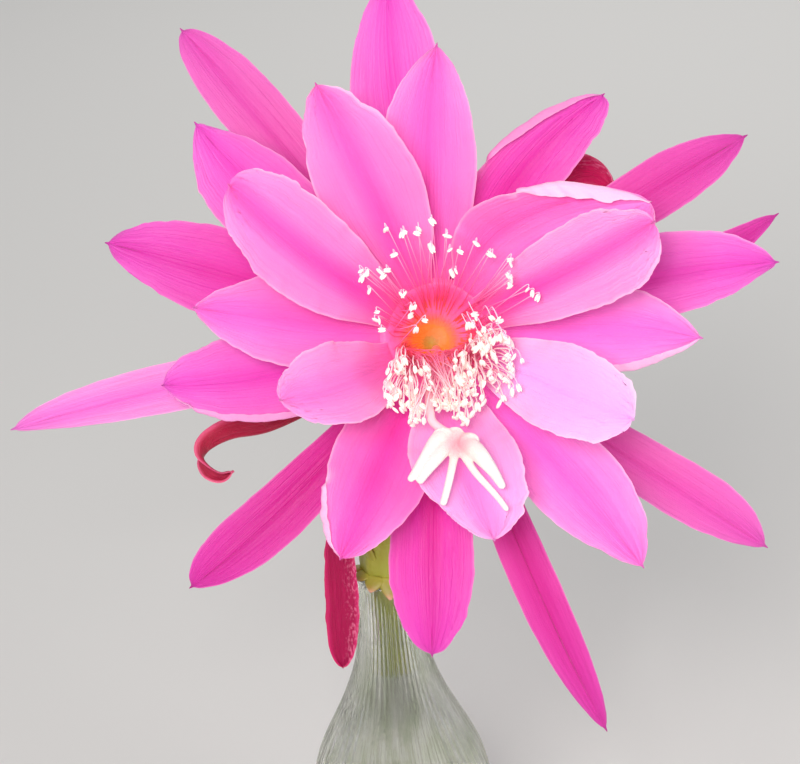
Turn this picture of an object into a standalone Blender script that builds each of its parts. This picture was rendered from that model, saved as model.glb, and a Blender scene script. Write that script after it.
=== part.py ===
"""Orchid cactus bloom standing in a ribbed clear glass bud vase, with +Z up.

The origin is the middle of the vase's flat foot. The bloom faces -Y and a little upwards.
All sizes are in millimetres and are turned into metres as the meshes are made.
"""
import math
import random
from collections import namedtuple

import bmesh
import bpy
from mathutils import Matrix, Vector

MM = 0.001
GAP = 0.3
SEAT_GAP = 0.42
JOIN_MERGE = 0.0000005

# Vase: heights and outer radii of the clear glass, foot to lip
VASE_HEIGHT = 122.0
VASE_OUTLINE = [
    (1.2, 21.4), (7.0, 23.2), (16.0, 25.1), (30.0, 26.7), (44.0, 27.0), (53.0, 26.2),
    (60.0, 24.8), (67.0, 22.2), (75.0, 18.4), (83.0, 14.8), (93.0, 11.4), (104.0, 9.5),
    (113.0, 8.9), (119.5, 8.5),
]
FOOT_RADIUS = 20.4
LIP_RADIUS = 8.3
LIP_BORE = 6.5
GLASS_WALL = 2.2
NECK_WALL = 1.9
GLASS_BASE = 9.0
RIB_COUNT = 24
RIB_DEPTH = 0.9
VASE_STEPS = 48
WATER_STEPS = 24

# Water and the plain hole in which the stem end stands
WATER_LEVEL = 103.0
HOLE_RADIUS = 4.0
HOLE_FLOOR = 87.0

# Bloom: middle of the throat rim, and how far the face of the bloom tilts up
THROAT = Vector((17.9, -20.0, 203.4))
FACE_TILT = 25.0
FUNNEL_RIM = 14.5
FUNNEL_FLARE = 0.42
FUNNEL_LENGTH = 20.0
CAVITY_RIM = 13.2
CAVITY_DEPTH = 15.0
CAVITY_FLOOR = 4.4
TUBE_SIDES = 18

# Green tube from the cut end in the water to the back of the funnel: (x, y, z, radius)
STEM_POINTS = [
    (0.0, 0.0, 90.0, 3.0), (0.0, 0.0, 96.0, 3.3), (0.0, 0.0, 106.0, 3.8),
    (0.0, 0.0, 116.0, 4.6), (0.0, 0.0, 121.5, 5.8), (0.0, 0.0, 124.5, 7.1),
    (0.4, 0.1, 129.0, 7.5), (1.6, 0.5, 135.0, 6.7), (3.6, 1.3, 142.0, 5.7),
    (6.8, 2.4, 152.0, 5.1), (10.4, 3.6, 163.0, 4.8),
]
BEND_START = Vector((13.4, 4.5, 172.0))
BEND_RADIUS = 4.8
BEND_REACH = 9.5
BEND_STEPS = 5

# Petals and sepals
BLADE_THICKNESS = 0.7
BLADE_ROWS = 9
ROW_CROWDING = 1.5
WIDE_COLUMNS = 6
NARROW_COLUMNS = 4
WIDE_BLADE = 21.0
TIP_HALF_WIDTH = 0.4
POINT_START = 0.99
STRAP_TAPER = 0.45
EDGE_WAVE = 0.5
WAVE_TURNS = 2.3
MID_GROOVE = 0.35
# How far a blade's centre line runs straight at its base and tip, as shares of its length,
# and how closely and how far along its base hugs the round funnel
BASE_HANDLE = 0.30
TIP_HANDLE = 0.36
SEAT_HUG = 0.85
SEAT_SHARE = 0.35

# Azimuth of the base, reach and height of the tip over the throat, width, seat behind the rim,
# rise at the base and slope at the tip in degrees, sway of the tip sideways, base width,
# depth of the channel across, where along its length it is widest, how sharp its tip is, and
# how much fuller its left side is towards the tip
Blade = namedtuple(
    "Blade", "name azimuth reach height width seat rise droop sway base cup belly taper skew")
BLADES = [
    Blade("inner_petal_upper_left", 147.0, 62.0, 44.0, 24.5, 2.0, 60, 26, -6.3, 10.0, 2.6, 0.68, 0.38, 0.0),
    Blade("inner_petal_left", 206.0, 42.2, 39.0, 22.0, 2.0, 62, 34, -5.0, 10.0, 2.4, 0.62, 0.50, 0.0),
    Blade("inner_petal_right", 331.5, 52.0, 40.0, 22.6, 2.0, 62, 28, 0.2, 10.0, 2.4, 0.68, 0.42, 0.0),
    Blade("inner_petal_upper_right", 21.0, 58.5, 43.0, 22.5, 2.0, 60, 30, 2.2, 9.5, 2.4, 0.74, 0.38, -0.35),
    Blade("inner_petal_top", 111.0, 68.0, 37.0, 26.5, 5.0, 48, 22, 1.8, 9.5, 2.2, 0.57, 0.66, 0.0),
    Blade("inner_petal_bottom", 275.5, 53.0, 32.0, 27.5, 5.0, 50, 24, 5.0, 9.5, 2.4, 0.60, 0.60, 0.42),
    Blade("inner_petal_top_right", 48.5, 57.5, 32.0, 30.0, 5.6, 46, 22, -22.0, 9.5, 2.0, 0.48, 0.46, 0.0),
    Blade("middle_petal_left", 171.0, 61.5, 28.0, 24.0, 6.8, 46, 18, -0.8, 9.0, 2.2, 0.52, 0.70, 0.0),
    Blade("middle_petal_top", 92.0, 72.0, 25.0, 26.2, 8.0, 38, 12, -7.2, 9.0, 2.0, 0.55, 0.76, 0.0),
    Blade("middle_petal_lower_left", 242.5, 62.0, 22.0, 26.0, 8.0, 38, 10, 0.0, 9.0, 2.0, 0.54, 0.64, 0.0),
    Blade("middle_petal_lower_right", 309.2, 78.2, 22.0, 22.6, 8.0, 36, 12, -2.8, 9.0, 2.0, 0.62, 0.70, 0.42),
    Blade("middle_petal_right", 0.2, 65.7, 25.0, 22.0, 8.0, 38, 14, -6.2, 8.5, 2.0, 0.62, 0.84, 0.30),
    Blade("outer_petal_upper_left", 140.3, 82.0, 12.0, 23.6, 9.6, 32, 2, -7.8, 8.0, 1.8, 0.68, 0.78, 0.40),
    Blade("outer_petal_left_low", 191.0, 71.5, 12.0, 23.0, 9.6, 32, 2, -5.6, 8.0, 1.8, 0.60, 0.56, 0.0),
    Blade("outer_petal_upper_right", 62.5, 73.5, 10.0, 20.2, 9.6, 32, 4, -14.6, 8.0, 1.8, 0.58, 0.54, -0.25),
    Blade("outer_petal_top", 97.2, 94.0, 8.0, 24.0, 11.2, 27, -4, -5.4, 7.5, 1.6, 0.66, 0.80, -0.12),
    Blade("outer_petal_left", 160.2, 88.6, 7.6, 23.0, 11.4, 26, -3, 0.6, 7.5, 1.6, 0.64, 0.66, -0.18),
    Blade("outer_petal_bottom", 264.0, 83.2, 5.0, 22.0, 11.2, 27, -4, 1.6, 7.5, 1.6, 0.71, 0.62, 0.0),
    Blade("outer_petal_right", 12.2, 89.4, 8.0, 21.4, 11.2, 27, -3, -6.7, 7.5, 1.6, 0.66, 0.70, 0.36),
    Blade("sepal_upper_left", 124.6, 106.2, -12.0, 17.0, 14.0, 16, -10, 2.2, 6.5, 1.4, 0.70, 0.50, 0.0),
    Blade("sepal_left", 186.4, 115.6, -12.0, 13.2, 14.0, 16, -8, 4.2, 6.0, 1.4, 0.56, 0.57, -0.36),
    Blade("sepal_lower_left", 226.5, 93.2, -11.0, 16.2, 15.8, 13, -8, -7.9, 5.6, 1.4, 0.75, 0.62, -0.20),
    Blade("sepal_lower_right", 323.6, 104.2, -11.0, 15.4, 15.8, 13, -8, -0.4, 5.6, 1.4, 0.75, 0.64, 0.36),
    Blade("sepal_bottom", 286.7, 114.7, -15.0, 12.2, 14.0, 16, -10, 5.4, 6.0, 1.4, 0.62, 0.58, 0.08),
    Blade("sepal_right", 30.6, 97.9, -10.0, 15.6, 14.0, 16, -8, -3.0, 6.0, 1.4, 0.72, 0.70, 0.0),
    Blade("sepal_right_back", 7.0, 97.0, -21.0, 11.0, 17.4, 6, -10, 15.0, 5.0, 1.2, 0.64, 0.66, 0.0),
]

# Rims that fold over towards the viewer: which edge, where along the blade the fold starts,
# how wide the folded rim is, how far it turns in degrees, and how late it is widest
Fold = namedtuple("Fold", "side start width turn lateness")
FOLDS = {
    "inner_petal_top_right": Fold(1, 0.62, 7.5, 165, 1.8),
    "middle_petal_right": Fold(-1, 0.55, 4.5, 120, 0.9),
    "outer_petal_upper_right": Fold(1, 0.42, 3.6, 150, 0.9),
    "outer_petal_left_low": Fold(1, 0.42, 3.0, 140, 0.9),
    "middle_petal_lower_left": Fold(-1, 0.60, 3.0, 140, 0.9),
}
FOLD_LINE = 2.0 / 3.0
FOLD_ARC = 0.3
FOLD_BLEND = 1.5

Strap = namedtuple("Strap", "name points width_axis width base belly")
# Crimson scales that hang or curl, by points in the frame of the bloom: across, up, forward
STRAPS = [
    Strap(
        "hanging_sepal",
        [(-20.4, -41.5, -39.4), (-27.0, -46.4, -35.6), (-30.2, -55.0, -36.0),
         (-30.8, -71.0, -43.8), (-32.2, -91.2, -53.0)],
        (1.0, 0.0, 0.0), 9.4, 6.0, 0.70,
    ),
    Strap(
        "curled_scale_left",
        [(-6.89, -2.76, -17.6), (-26.0, -12.0, -21.5), (-45.0, -19.6, -19.5), (-56.0, -21.2, -17.0),
         (-62.2, -23.8, -16.0), (-64.4, -27.5, -16.0), (-63.3, -31.4, -16.5), (-60.0, -33.3, -17.0),
         (-56.6, -32.0, -18.0)],
        (0.0, 0.80, 0.60), 7.6, 4.4, 0.60,
    ),
    Strap(
        "curled_scale_right",
        [(5.43, 5.60, -17.6), (20.0, 21.0, -19.5), (34.0, 37.5, -17.5), (42.5, 44.2, -14.0),
         (48.6, 41.6, -10.5), (50.0, 35.8, -8.5)],
        (-0.72, 0.45, 0.53), 9.0, 5.0, 0.55,
    ),
]

# Stamens, style and stigma, in the frame of the bloom
COLLAR_WALL = 1.0
COLLAR_FRONT = -0.6
COLLAR_BACK = -12.0
FILAMENT_RADIUS = 0.36
FILAMENT_STEPS = 3
FILAMENT_SPACING = 3
ANTHER_LENGTH = 2.4
ANTHER_RADIUS = 0.8
FAN_COUNT = 22
FAN_START = 12.0
FAN_END = 178.0
MASS_COUNT = 46
MASS_START = 184.0
MASS_END = 368.0
MASS_MIDDLE = (1.4, -11.6)
MASS_SPREAD = (17.0, 7.8)
STAMEN_SEED = 7
STAMEN_TRIES = 60
STYLE_CLEARANCE = 2.4
STYLE_RADIUS = 1.2
STYLE_POINTS = [
    (0.0, -2.4, -14.2), (-0.8, -5.6, -4.0), (-2.0, -10.0, 5.0), (-3.2, -15.0, 12.5),
    (-3.4, -19.8, 17.0), (-2.4, -22.8, 19.2),
]
STIGMA_HUB = (2.6, -26.4, 21.2)
HUB_RADIUS = 3.0
LOBE_TAPER = 0.42
# Radius of each lobe at its root, and the points along it
STIGMA_LOBES = [
    (2.0, [(1.2, -27.6, 22.0), (-4.2, -32.0, 24.6), (-10.4, -37.0, 28.0)]),
    (1.6, [(1.8, -28.2, 21.6), (-2.4, -32.6, 24.8), (-8.0, -38.0, 29.6)]),
    (1.4, [(2.6, -28.0, 21.2), (1.2, -35.0, 25.4), (-1.8, -43.7, 31.0)]),
    (1.3, [(4.0, -28.0, 21.4), (7.2, -36.0, 26.6), (14.4, -45.4, 33.0)]),
    (2.0, [(4.4, -27.2, 22.0), (9.4, -31.8, 25.2), (13.4, -40.0, 29.4)]),
    (1.8, [(4.0, -26.6, 22.4), (8.0, -28.8, 25.2), (11.0, -33.4, 28.4)]),
    (1.5, [(2.4, -26.2, 21.6), (1.2, -24.6, 23.6), (0.2, -24.0, 25.8)]),
    (1.5, [(3.6, -26.2, 21.8), (5.4, -25.0, 23.8), (6.8, -25.4, 26.2)]),
]

# Pointed bracts on the green tube: height along the stem, and azimuth round it
BRACTS = [
    (126.5, 235.0), (128.5, 300.0), (130.0, 170.0), (134.5, 265.0), (136.0, 330.0),
    (141.0, 215.0), (143.0, 20.0), (147.0, 285.0), (151.0, 100.0), (155.0, 200.0),
]
BRACT_LENGTH = 8.0
BRACT_WIDTH = 4.4

COLOURS = {
    "glass": ((0.86, 0.90, 0.86), 0.05),
    "water": ((0.90, 0.94, 0.94), 0.05),
    "green_tube": ((0.36, 0.34, 0.06), 0.45),
    "inner_petal": ((0.95, 0.24, 0.66), 0.45),
    "outer_petal": ((0.84, 0.09, 0.42), 0.45),
    "sepal": ((0.72, 0.04, 0.28), 0.42),
    "scale": ((0.44, 0.02, 0.09), 0.35),
    "stamen": ((0.98, 0.86, 0.84), 0.55),
    "style": ((0.95, 0.55, 0.62), 0.45),
    "stigma": ((0.98, 0.97, 0.93), 0.50),
}


def clear_scene():
    """Remove every object that the new file holds."""
    for item in list(bpy.data.objects):
        bpy.data.objects.remove(item, do_unlink=True)


def make_collection(name):
    """Return a new collection linked to the scene."""
    group = bpy.data.collections.new(name)
    bpy.context.scene.collection.children.link(group)
    return group


def make_material(name):
    """Return the Principled material for one of the finishes."""
    colour, roughness = COLOURS[name]
    material = bpy.data.materials.new(name)
    material.use_nodes = True
    shader = material.node_tree.nodes["Principled BSDF"]
    shader.inputs["Base Color"].default_value = (*colour, 1.0)
    shader.inputs["Roughness"].default_value = roughness
    shader.inputs["Metallic"].default_value = 0.0
    if name in ("glass", "water"):
        shader.inputs["Transmission Weight"].default_value = 1.0
    return material


def add_object(name, mesh, group, material, parent=None):
    """Link a smooth-shaded mesh object to its collection, with its material."""
    mesh.materials.clear()
    mesh.materials.append(material)
    mesh.shade_smooth()
    mesh.set_sharp_from_angle(angle=math.radians(40.0))
    item = bpy.data.objects.new(name, mesh)
    group.objects.link(item)
    item.parent = parent
    return item


def evaluated_mesh(item, merge=0.00001):
    """Return a plain mesh of the object as it is evaluated, its double points merged."""
    bpy.context.view_layer.update()
    graph = bpy.context.evaluated_depsgraph_get()
    mesh = bpy.data.meshes.new_from_object(item.evaluated_get(graph))
    bm = bmesh.new()
    bm.from_mesh(mesh)
    bmesh.ops.remove_doubles(bm, verts=bm.verts, dist=merge)
    bmesh.ops.recalc_face_normals(bm, faces=bm.faces)
    bm.to_mesh(mesh)
    bm.free()
    return mesh


def smooth_points(points, steps):
    """Return points on a smooth curve through the given points, each a tuple of numbers."""
    ends = [points[0]] + list(points) + [points[-1]]
    result = []
    for index in range(len(points) - 1):
        before, start, end, after = (Vector(ends[index + shift]) for shift in range(4))
        for step in range(steps):
            t = step / steps
            curve = 2 * start + (end - before) * t
            curve += (2 * before - 5 * start + 4 * end - after) * t * t
            curve += (3 * start - before - 3 * end + after) * t * t * t
            result.append(curve / 2)
    result.append(Vector(points[-1]))
    return result


def bezier(start, first, second, end, t):
    """Return the point at t on a cubic Bezier curve."""
    back = 1.0 - t
    near = start * back ** 3 + first * (3 * back * back * t)
    return near + second * (3 * back * t * t) + end * t ** 3


def turned_mesh(name, profile, steps, group):
    """Return the mesh of a profile of (radius, height) turned round the Z axis."""
    bm = bmesh.new()
    corners = [bm.verts.new((radius * MM, 0.0, height * MM)) for radius, height in profile]
    for first, second in zip(corners, corners[1:]):
        bm.edges.new((first, second))
    mesh = bpy.data.meshes.new(name)
    bm.to_mesh(mesh)
    bm.free()
    item = bpy.data.objects.new(name, mesh)
    group.objects.link(item)
    screw = item.modifiers.new("turn", "SCREW")
    screw.steps = steps
    screw.render_steps = steps
    screw.use_merge_vertices = True
    screw.merge_threshold = 0.00001
    result = evaluated_mesh(item)
    bpy.data.objects.remove(item, do_unlink=True)
    return result


def tube_mesh(name, points, radii, sides, group):
    """Return the mesh of a capped round tube along points, each with its own radius."""
    curve = bpy.data.curves.new(name, "CURVE")
    curve.dimensions = "3D"
    curve.bevel_depth = MM
    curve.bevel_resolution = (sides - 4) // 2
    curve.use_fill_caps = True
    spline = curve.splines.new("POLY")
    spline.points.add(len(points) - 1)
    for point, place, radius in zip(spline.points, points, radii):
        point.co = (*(Vector(place) * MM), 1.0)
        point.radius = radius
    item = bpy.data.objects.new(name, curve)
    group.objects.link(item)
    mesh = evaluated_mesh(item)
    bpy.data.objects.remove(item, do_unlink=True)
    return mesh


def join_pieces(core, pieces, solver):
    """Union the pieces' solids into the core by one Boolean, then remove them."""
    operands = bpy.data.collections.new("operands")
    bpy.context.scene.collection.children.link(operands)
    for index, mesh in enumerate(pieces):
        operands.objects.link(bpy.data.objects.new(f"operand_{index}", mesh))
    union = core.modifiers.new("join", "BOOLEAN")
    union.operation = "UNION"
    union.operand_type = "COLLECTION"
    union.collection = operands
    union.solver = solver
    joined = evaluated_mesh(core, JOIN_MERGE)
    core.modifiers.remove(union)
    core.data = joined
    for item in list(operands.objects):
        bpy.data.objects.remove(item, do_unlink=True)
    bpy.data.collections.remove(operands)


def wall_at(height):
    """Return the thickness of the glass at a height: thin in the neck, thicker in the body."""
    blend = min(max((height - 70.0) / 35.0, 0.0), 1.0)
    return GLASS_WALL + (NECK_WALL - GLASS_WALL) * blend


def vase_outline():
    """Return the outer radius and height of the glass, foot to lip."""
    return [(radius, height) for height, radius in VASE_OUTLINE]


def bore_outline():
    """Return the inner radius and height of the glass, floor to lip."""
    sides = [(r - wall_at(h), h) for r, h in vase_outline()[2::2]]
    first = sides[0][0]
    floor = [(0.0, GLASS_BASE), (first - 7.0, GLASS_BASE), (first - 2.0, GLASS_BASE + 1.8)]
    return floor + sides


def build_vase(group, material):
    """Make the clear bud vase: thick foot, pear-shaped ribbed body, slim neck, round lip."""
    lip = [
        (LIP_BORE, VASE_HEIGHT - 0.7), (LIP_BORE + 0.5, VASE_HEIGHT),
        (LIP_RADIUS - 0.5, VASE_HEIGHT), (LIP_RADIUS, VASE_HEIGHT - 0.7),
    ]
    outer = list(reversed(vase_outline()))
    foot = [(FOOT_RADIUS, 0.0), (0.0, 0.0)]
    mesh = turned_mesh("glass_vase", bore_outline() + lip + outer + foot, VASE_STEPS, group)
    for vertex in mesh.vertices:
        height = vertex.co.z / MM
        radius = math.hypot(vertex.co.x, vertex.co.y) / MM
        if 1.0 < height < VASE_HEIGHT - 1.0 and radius > outer_radius(height) - 0.6:
            angle = math.atan2(vertex.co.y, vertex.co.x)
            fade = min((height - 1.0) / 6.0, (VASE_HEIGHT - 1.0 - height) / 8.0, 1.0)
            size = min(radius / 20.0, 1.0)
            dip = RIB_DEPTH * fade * size * (0.5 - 0.5 * math.cos(RIB_COUNT * angle))
            vertex.co.x *= 1.0 - dip / radius
            vertex.co.y *= 1.0 - dip / radius
    return add_object("glass_vase", mesh, group, material)


def outer_radius(height):
    """Return the outer radius of the glass at a height between foot and lip."""
    outline = vase_outline()
    for (low_r, low_h), (high_r, high_h) in zip(outline, outline[1:]):
        if height <= high_h:
            share = max((height - low_h) / (high_h - low_h), 0.0)
            return low_r + (high_r - low_r) * share
    return outline[-1][0]


def build_water(group, material):
    """Make the water: it fills the body up to its level, round a plain hole for the stem."""
    walls = [(r - GAP, h) for r, h in bore_outline()[3:] if h < WATER_LEVEL - 1.0]
    top = outer_radius(WATER_LEVEL) - wall_at(WATER_LEVEL) - GAP
    hole = [(0.0, HOLE_FLOOR), (HOLE_RADIUS, HOLE_FLOOR), (HOLE_RADIUS, WATER_LEVEL)]
    low = GLASS_BASE + GAP
    bottom = [(walls[0][0] - 2.0, low + 1.8), (walls[0][0] - 7.0, low), (0.0, low)]
    profile = hole + [(top, WATER_LEVEL)] + list(reversed(walls)) + bottom
    mesh = turned_mesh("vase_water", profile, WATER_STEPS, group)
    return add_object("vase_water", mesh, group, material)


def bloom_frame():
    """Return the matrix of the bloom: across, up and forward axes at the throat."""
    tilt = math.radians(FACE_TILT)
    across = Vector((1.0, 0.0, 0.0))
    forward = Vector((0.0, -math.cos(tilt), math.sin(tilt)))
    up = forward.cross(across)
    frame = Matrix((across, up, forward)).transposed().to_4x4()
    frame.translation = THROAT * MM
    return frame


def funnel_radius(forward):
    """Return the outer radius of the funnel at a depth, which is negative behind the rim."""
    return FUNNEL_RIM + FUNNEL_FLARE * forward


def cavity_radius(forward):
    """Return the radius of the throat's cavity at a depth, negative behind the rim."""
    return CAVITY_RIM + (CAVITY_RIM - CAVITY_FLOOR) / CAVITY_DEPTH * forward


def tube_path():
    """Return the centre points and radii of the green tube, from its cut end to the rim."""
    forward = Vector((0.0, -math.cos(math.radians(FACE_TILT)), math.sin(math.radians(FACE_TILT))))
    path = [(Vector(point[:3]), point[3]) for point in STEM_POINTS]
    start = BEND_START
    end = THROAT - forward * FUNNEL_LENGTH
    lean = (BEND_START - Vector(STEM_POINTS[-1][:3])).normalized()
    back = funnel_radius(-FUNNEL_LENGTH)
    for step in range(BEND_STEPS + 1):
        t = step / BEND_STEPS
        first = start + lean * BEND_REACH
        second = end - forward * BEND_REACH
        path.append((bezier(start, first, second, end, t), BEND_RADIUS + (back - BEND_RADIUS) * t))
    for depth in (-13.0, -6.0, 0.0):
        path.append((THROAT + forward * depth, funnel_radius(depth)))
    return path


def bract_mesh(height, azimuth, path):
    """Return one pointed bract, its root sunk in the tube."""
    below = max((item for item in path if item[0].z <= height), key=lambda item: item[0].z)
    above = min((item for item in path if item[0].z > height), key=lambda item: item[0].z)
    share = (height - below[0].z) / (above[0].z - below[0].z)
    centre = below[0].lerp(above[0], share)
    radius = below[1] + (above[1] - below[1]) * share
    bm = bmesh.new()
    bmesh.ops.create_cone(
        bm, cap_ends=True, segments=4, radius1=BRACT_WIDTH / 2, radius2=0.3, depth=BRACT_LENGTH)
    bmesh.ops.scale(bm, verts=bm.verts, vec=(0.42, 1.0, 1.0))
    bmesh.ops.rotate(bm, verts=bm.verts, matrix=Matrix.Rotation(math.radians(14.0), 3, "Y"))
    bmesh.ops.translate(bm, verts=bm.verts, vec=(radius - 0.2, 0.0, BRACT_LENGTH / 2 - 1.0))
    bmesh.ops.rotate(bm, verts=bm.verts, matrix=Matrix.Rotation(math.radians(azimuth), 3, "Z"))
    bmesh.ops.translate(bm, verts=bm.verts, vec=centre)
    bmesh.ops.scale(bm, verts=bm.verts, vec=(MM, MM, MM))
    bmesh.ops.triangulate(bm, faces=bm.faces)
    mesh = bpy.data.meshes.new("bract")
    bm.to_mesh(mesh)
    bm.free()
    return mesh


def build_tube(group, material, frame):
    """Make the green tube: cut end, swollen base on the lip, bend, funnel, cavity, bracts."""
    path = tube_path()
    points = [place for place, _ in path]
    radii = [radius for _, radius in path]
    mesh = tube_mesh("flower_tube", points, radii, TUBE_SIDES, group)
    tube = add_object("flower_tube", mesh, group, material)
    join_pieces(tube, [bract_mesh(height, turn, path) for height, turn in BRACTS], "EXACT")
    over = 2.0
    profile = [
        (0.0, over), (cavity_radius(over), over), (CAVITY_FLOOR, -CAVITY_DEPTH), (0.0, -CAVITY_DEPTH),
    ]
    cutter_mesh = turned_mesh("throat_cutter", profile, TUBE_SIDES, group)
    cutter_mesh.transform(frame)
    cutter = bpy.data.objects.new("throat_cutter", cutter_mesh)
    cutters = bpy.data.collections["cutters"]
    cutters.objects.link(cutter)
    cutter.hide_render = True
    cutter.display_type = "WIRE"
    hollow = tube.modifiers.new("throat", "BOOLEAN")
    hollow.operation = "DIFFERENCE"
    hollow.object = cutter
    tube.data.materials.clear()
    tube.data.materials.append(material)
    return tube


def blade_half_width(t, width, base, belly, taper):
    """Return half the width of a blade at t: narrow base, wide belly, tapered tip, point."""
    if t < belly:
        share = base / width
        grow = math.sin(math.pi / 2 * t / belly) ** 1.3
        return width / 2 * (share + (1.0 - share) * grow)
    end = min((t - belly) / (POINT_START - belly), 1.0)
    return max(width / 2 * (1.0 - end * end) ** taper, TIP_HALF_WIDTH)


def blade_row(index):
    """Return the place along a blade of one of its rows, closer together near the tip."""
    return 1.0 - (1.0 - index / BLADE_ROWS) ** ROW_CROWDING


def blade_grid(name, width, place):
    """Return a triangulated grid whose points are moved to place(t, s), as a mesh."""
    columns = WIDE_COLUMNS if width > WIDE_BLADE else NARROW_COLUMNS
    bm = bmesh.new()
    bmesh.ops.create_grid(bm, x_segments=BLADE_ROWS, y_segments=columns, size=0.5)
    for vertex in bm.verts:
        row = round((vertex.co.x + 0.5) * BLADE_ROWS)
        vertex.co = place(blade_row(row), vertex.co.y * 2.0) * MM
    bmesh.ops.triangulate(bm, faces=bm.faces, quad_method="ALTERNATE")
    mesh = bpy.data.meshes.new(name)
    bm.to_mesh(mesh)
    bm.free()
    return mesh


def folded_rim(fold, t, s):
    """Return where a folded blade's grid point lies across it, and its shift across and forward."""
    along = min(max((t - fold.start) / (1.0 - fold.start), 0.0), 1.0)
    rim = fold.width * math.sin(math.pi * along ** fold.lateness)
    edge = s * fold.side
    target = min((edge + 1.0) * 2.0 / (1.0 + FOLD_LINE) - 1.0, 1.0)
    spot = edge + (target - edge) * min(rim / FOLD_BLEND, 1.0)
    reach = rim * max(edge - FOLD_LINE, 0.0) / (1.0 - FOLD_LINE)
    if reach <= 0.0:
        return spot * fold.side, 0.0, 0.0
    full = math.radians(fold.turn)
    arc = FOLD_ARC * rim
    turn = full * min(reach / arc, 1.0)
    rest = max(reach - arc, 0.0)
    across = arc / full * math.sin(turn) + rest * math.cos(full)
    forward = arc / full * (1.0 - math.cos(turn)) + rest * math.sin(full)
    return spot * fold.side, across * fold.side, forward


def blade_place(blade, t, s):
    """Return the point at t along and s across a petal: outward, across and forward."""
    across, forward = 0.0, 0.0
    if blade.name in FOLDS:
        s, across, forward = folded_rim(FOLDS[blade.name], t, s)
    rise = math.radians(blade.rise)
    fall = math.radians(blade.droop)
    seat = funnel_radius(-blade.seat) + SEAT_GAP + BLADE_THICKNESS / 2 * math.sin(rise)
    start = Vector((seat, 0.0, -blade.seat))
    end = Vector((blade.reach, 0.0, blade.height))
    length = (end - start).length
    first = start + Vector((math.cos(rise), 0.0, math.sin(rise))) * length * BASE_HANDLE
    second = end - Vector((math.cos(fall), 0.0, math.sin(fall))) * length * TIP_HANDLE
    centre = bezier(start, first, second, end, t)
    step = 0.01
    ahead = bezier(start, first, second, end, t + step)
    ahead -= bezier(start, first, second, end, t - step)
    normal = Vector((-ahead.z, 0.0, ahead.x)).normalized()
    half = blade_half_width(t, blade.width, blade.base, blade.belly, blade.taper)
    hug = SEAT_HUG * half * half / (2.0 * seat)
    share = min(t / SEAT_SHARE, 1.0)
    channel = hug + (blade.cup * (2.0 * half / blade.width) ** 2 - hug) * share
    wave = EDGE_WAVE * math.sin(math.tau * WAVE_TURNS * t + blade.azimuth) * abs(s) ** 3
    groove = MID_GROOVE * (1.0 - abs(s)) ** 4
    rise_off = channel * s * s + (wave - groove) * share * min(half / 3.0, 1.0)
    side = s * half * (1.0 + blade.skew * t ** 5 * s) + blade.sway * t ** 3 + across
    return centre + Vector((0.0, side, 0.0)) + normal * (rise_off + forward)


def build_blade(blade, group, material, parent):
    """Make one petal or sepal and turn it to its azimuth round the throat."""
    mesh = blade_grid(blade.name, blade.width, lambda t, s: blade_place(blade, t, s))
    item = add_object(blade.name, mesh, group, material, parent)
    item.rotation_euler = (0.0, 0.0, math.radians(blade.azimuth))
    thicken(item)
    return item


def thicken(item):
    """Give a blade its thickness, half to each side."""
    solid = item.modifiers.new("thickness", "SOLIDIFY")
    solid.thickness = BLADE_THICKNESS * MM
    solid.offset = 0.0


def strap_place(strap, t, s):
    """Return the point at t along and s across a hanging or curled scale."""
    path = smooth_points(strap.points, 6)
    spot = t * (len(path) - 1)
    index = min(int(spot), len(path) - 2)
    centre = path[index].lerp(path[index + 1], spot - index)
    ahead = path[min(index + 1, len(path) - 1)] - path[max(index - 1, 0)]
    across = Vector(strap.width_axis)
    across = (across - ahead * (across.dot(ahead) / ahead.length_squared)).normalized()
    normal = across.cross(ahead).normalized()
    half = blade_half_width(t, strap.width, strap.base, strap.belly, STRAP_TAPER)
    return centre + across * (s * half) - normal * (0.12 * half * s * s)


def build_strap(strap, group, material, parent):
    """Make one crimson scale that hangs or curls."""
    mesh = blade_grid(strap.name, strap.width, lambda t, s: strap_place(strap, t, s))
    item = add_object(strap.name, mesh, group, material, parent)
    thicken(item)
    return item


def polar(radius, azimuth, forward):
    """Return a point of the bloom from its radius, azimuth in degrees and depth."""
    angle = math.radians(azimuth)
    return Vector((radius * math.cos(angle), radius * math.sin(angle), forward))


def fan_stamen(draw, share):
    """Return the path of a stamen of the upper fan, root to anther."""
    azimuth = FAN_START + (FAN_END - FAN_START) * share + draw.uniform(-3.0, 3.0)
    reach = draw.uniform(19.0, 28.0)
    lift = draw.uniform(17.5, 20.5) + (reach - 19.0) * 0.35
    depth = draw.uniform(-8.0, -2.5)
    root = cavity_radius(depth) - GAP - COLLAR_WALL / 2
    turn = azimuth + draw.uniform(-5.0, 5.0)
    droop = Vector((0.0, -draw.uniform(0.6, 1.6), -0.3))
    return [
        polar(root, azimuth, depth), polar(root + 1.0, azimuth, depth + 6.0),
        polar(root + 4.0, azimuth, 9.0), polar(reach * 0.84, turn, lift - 1.8),
        polar(reach, turn, lift) + droop,
    ]


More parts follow.
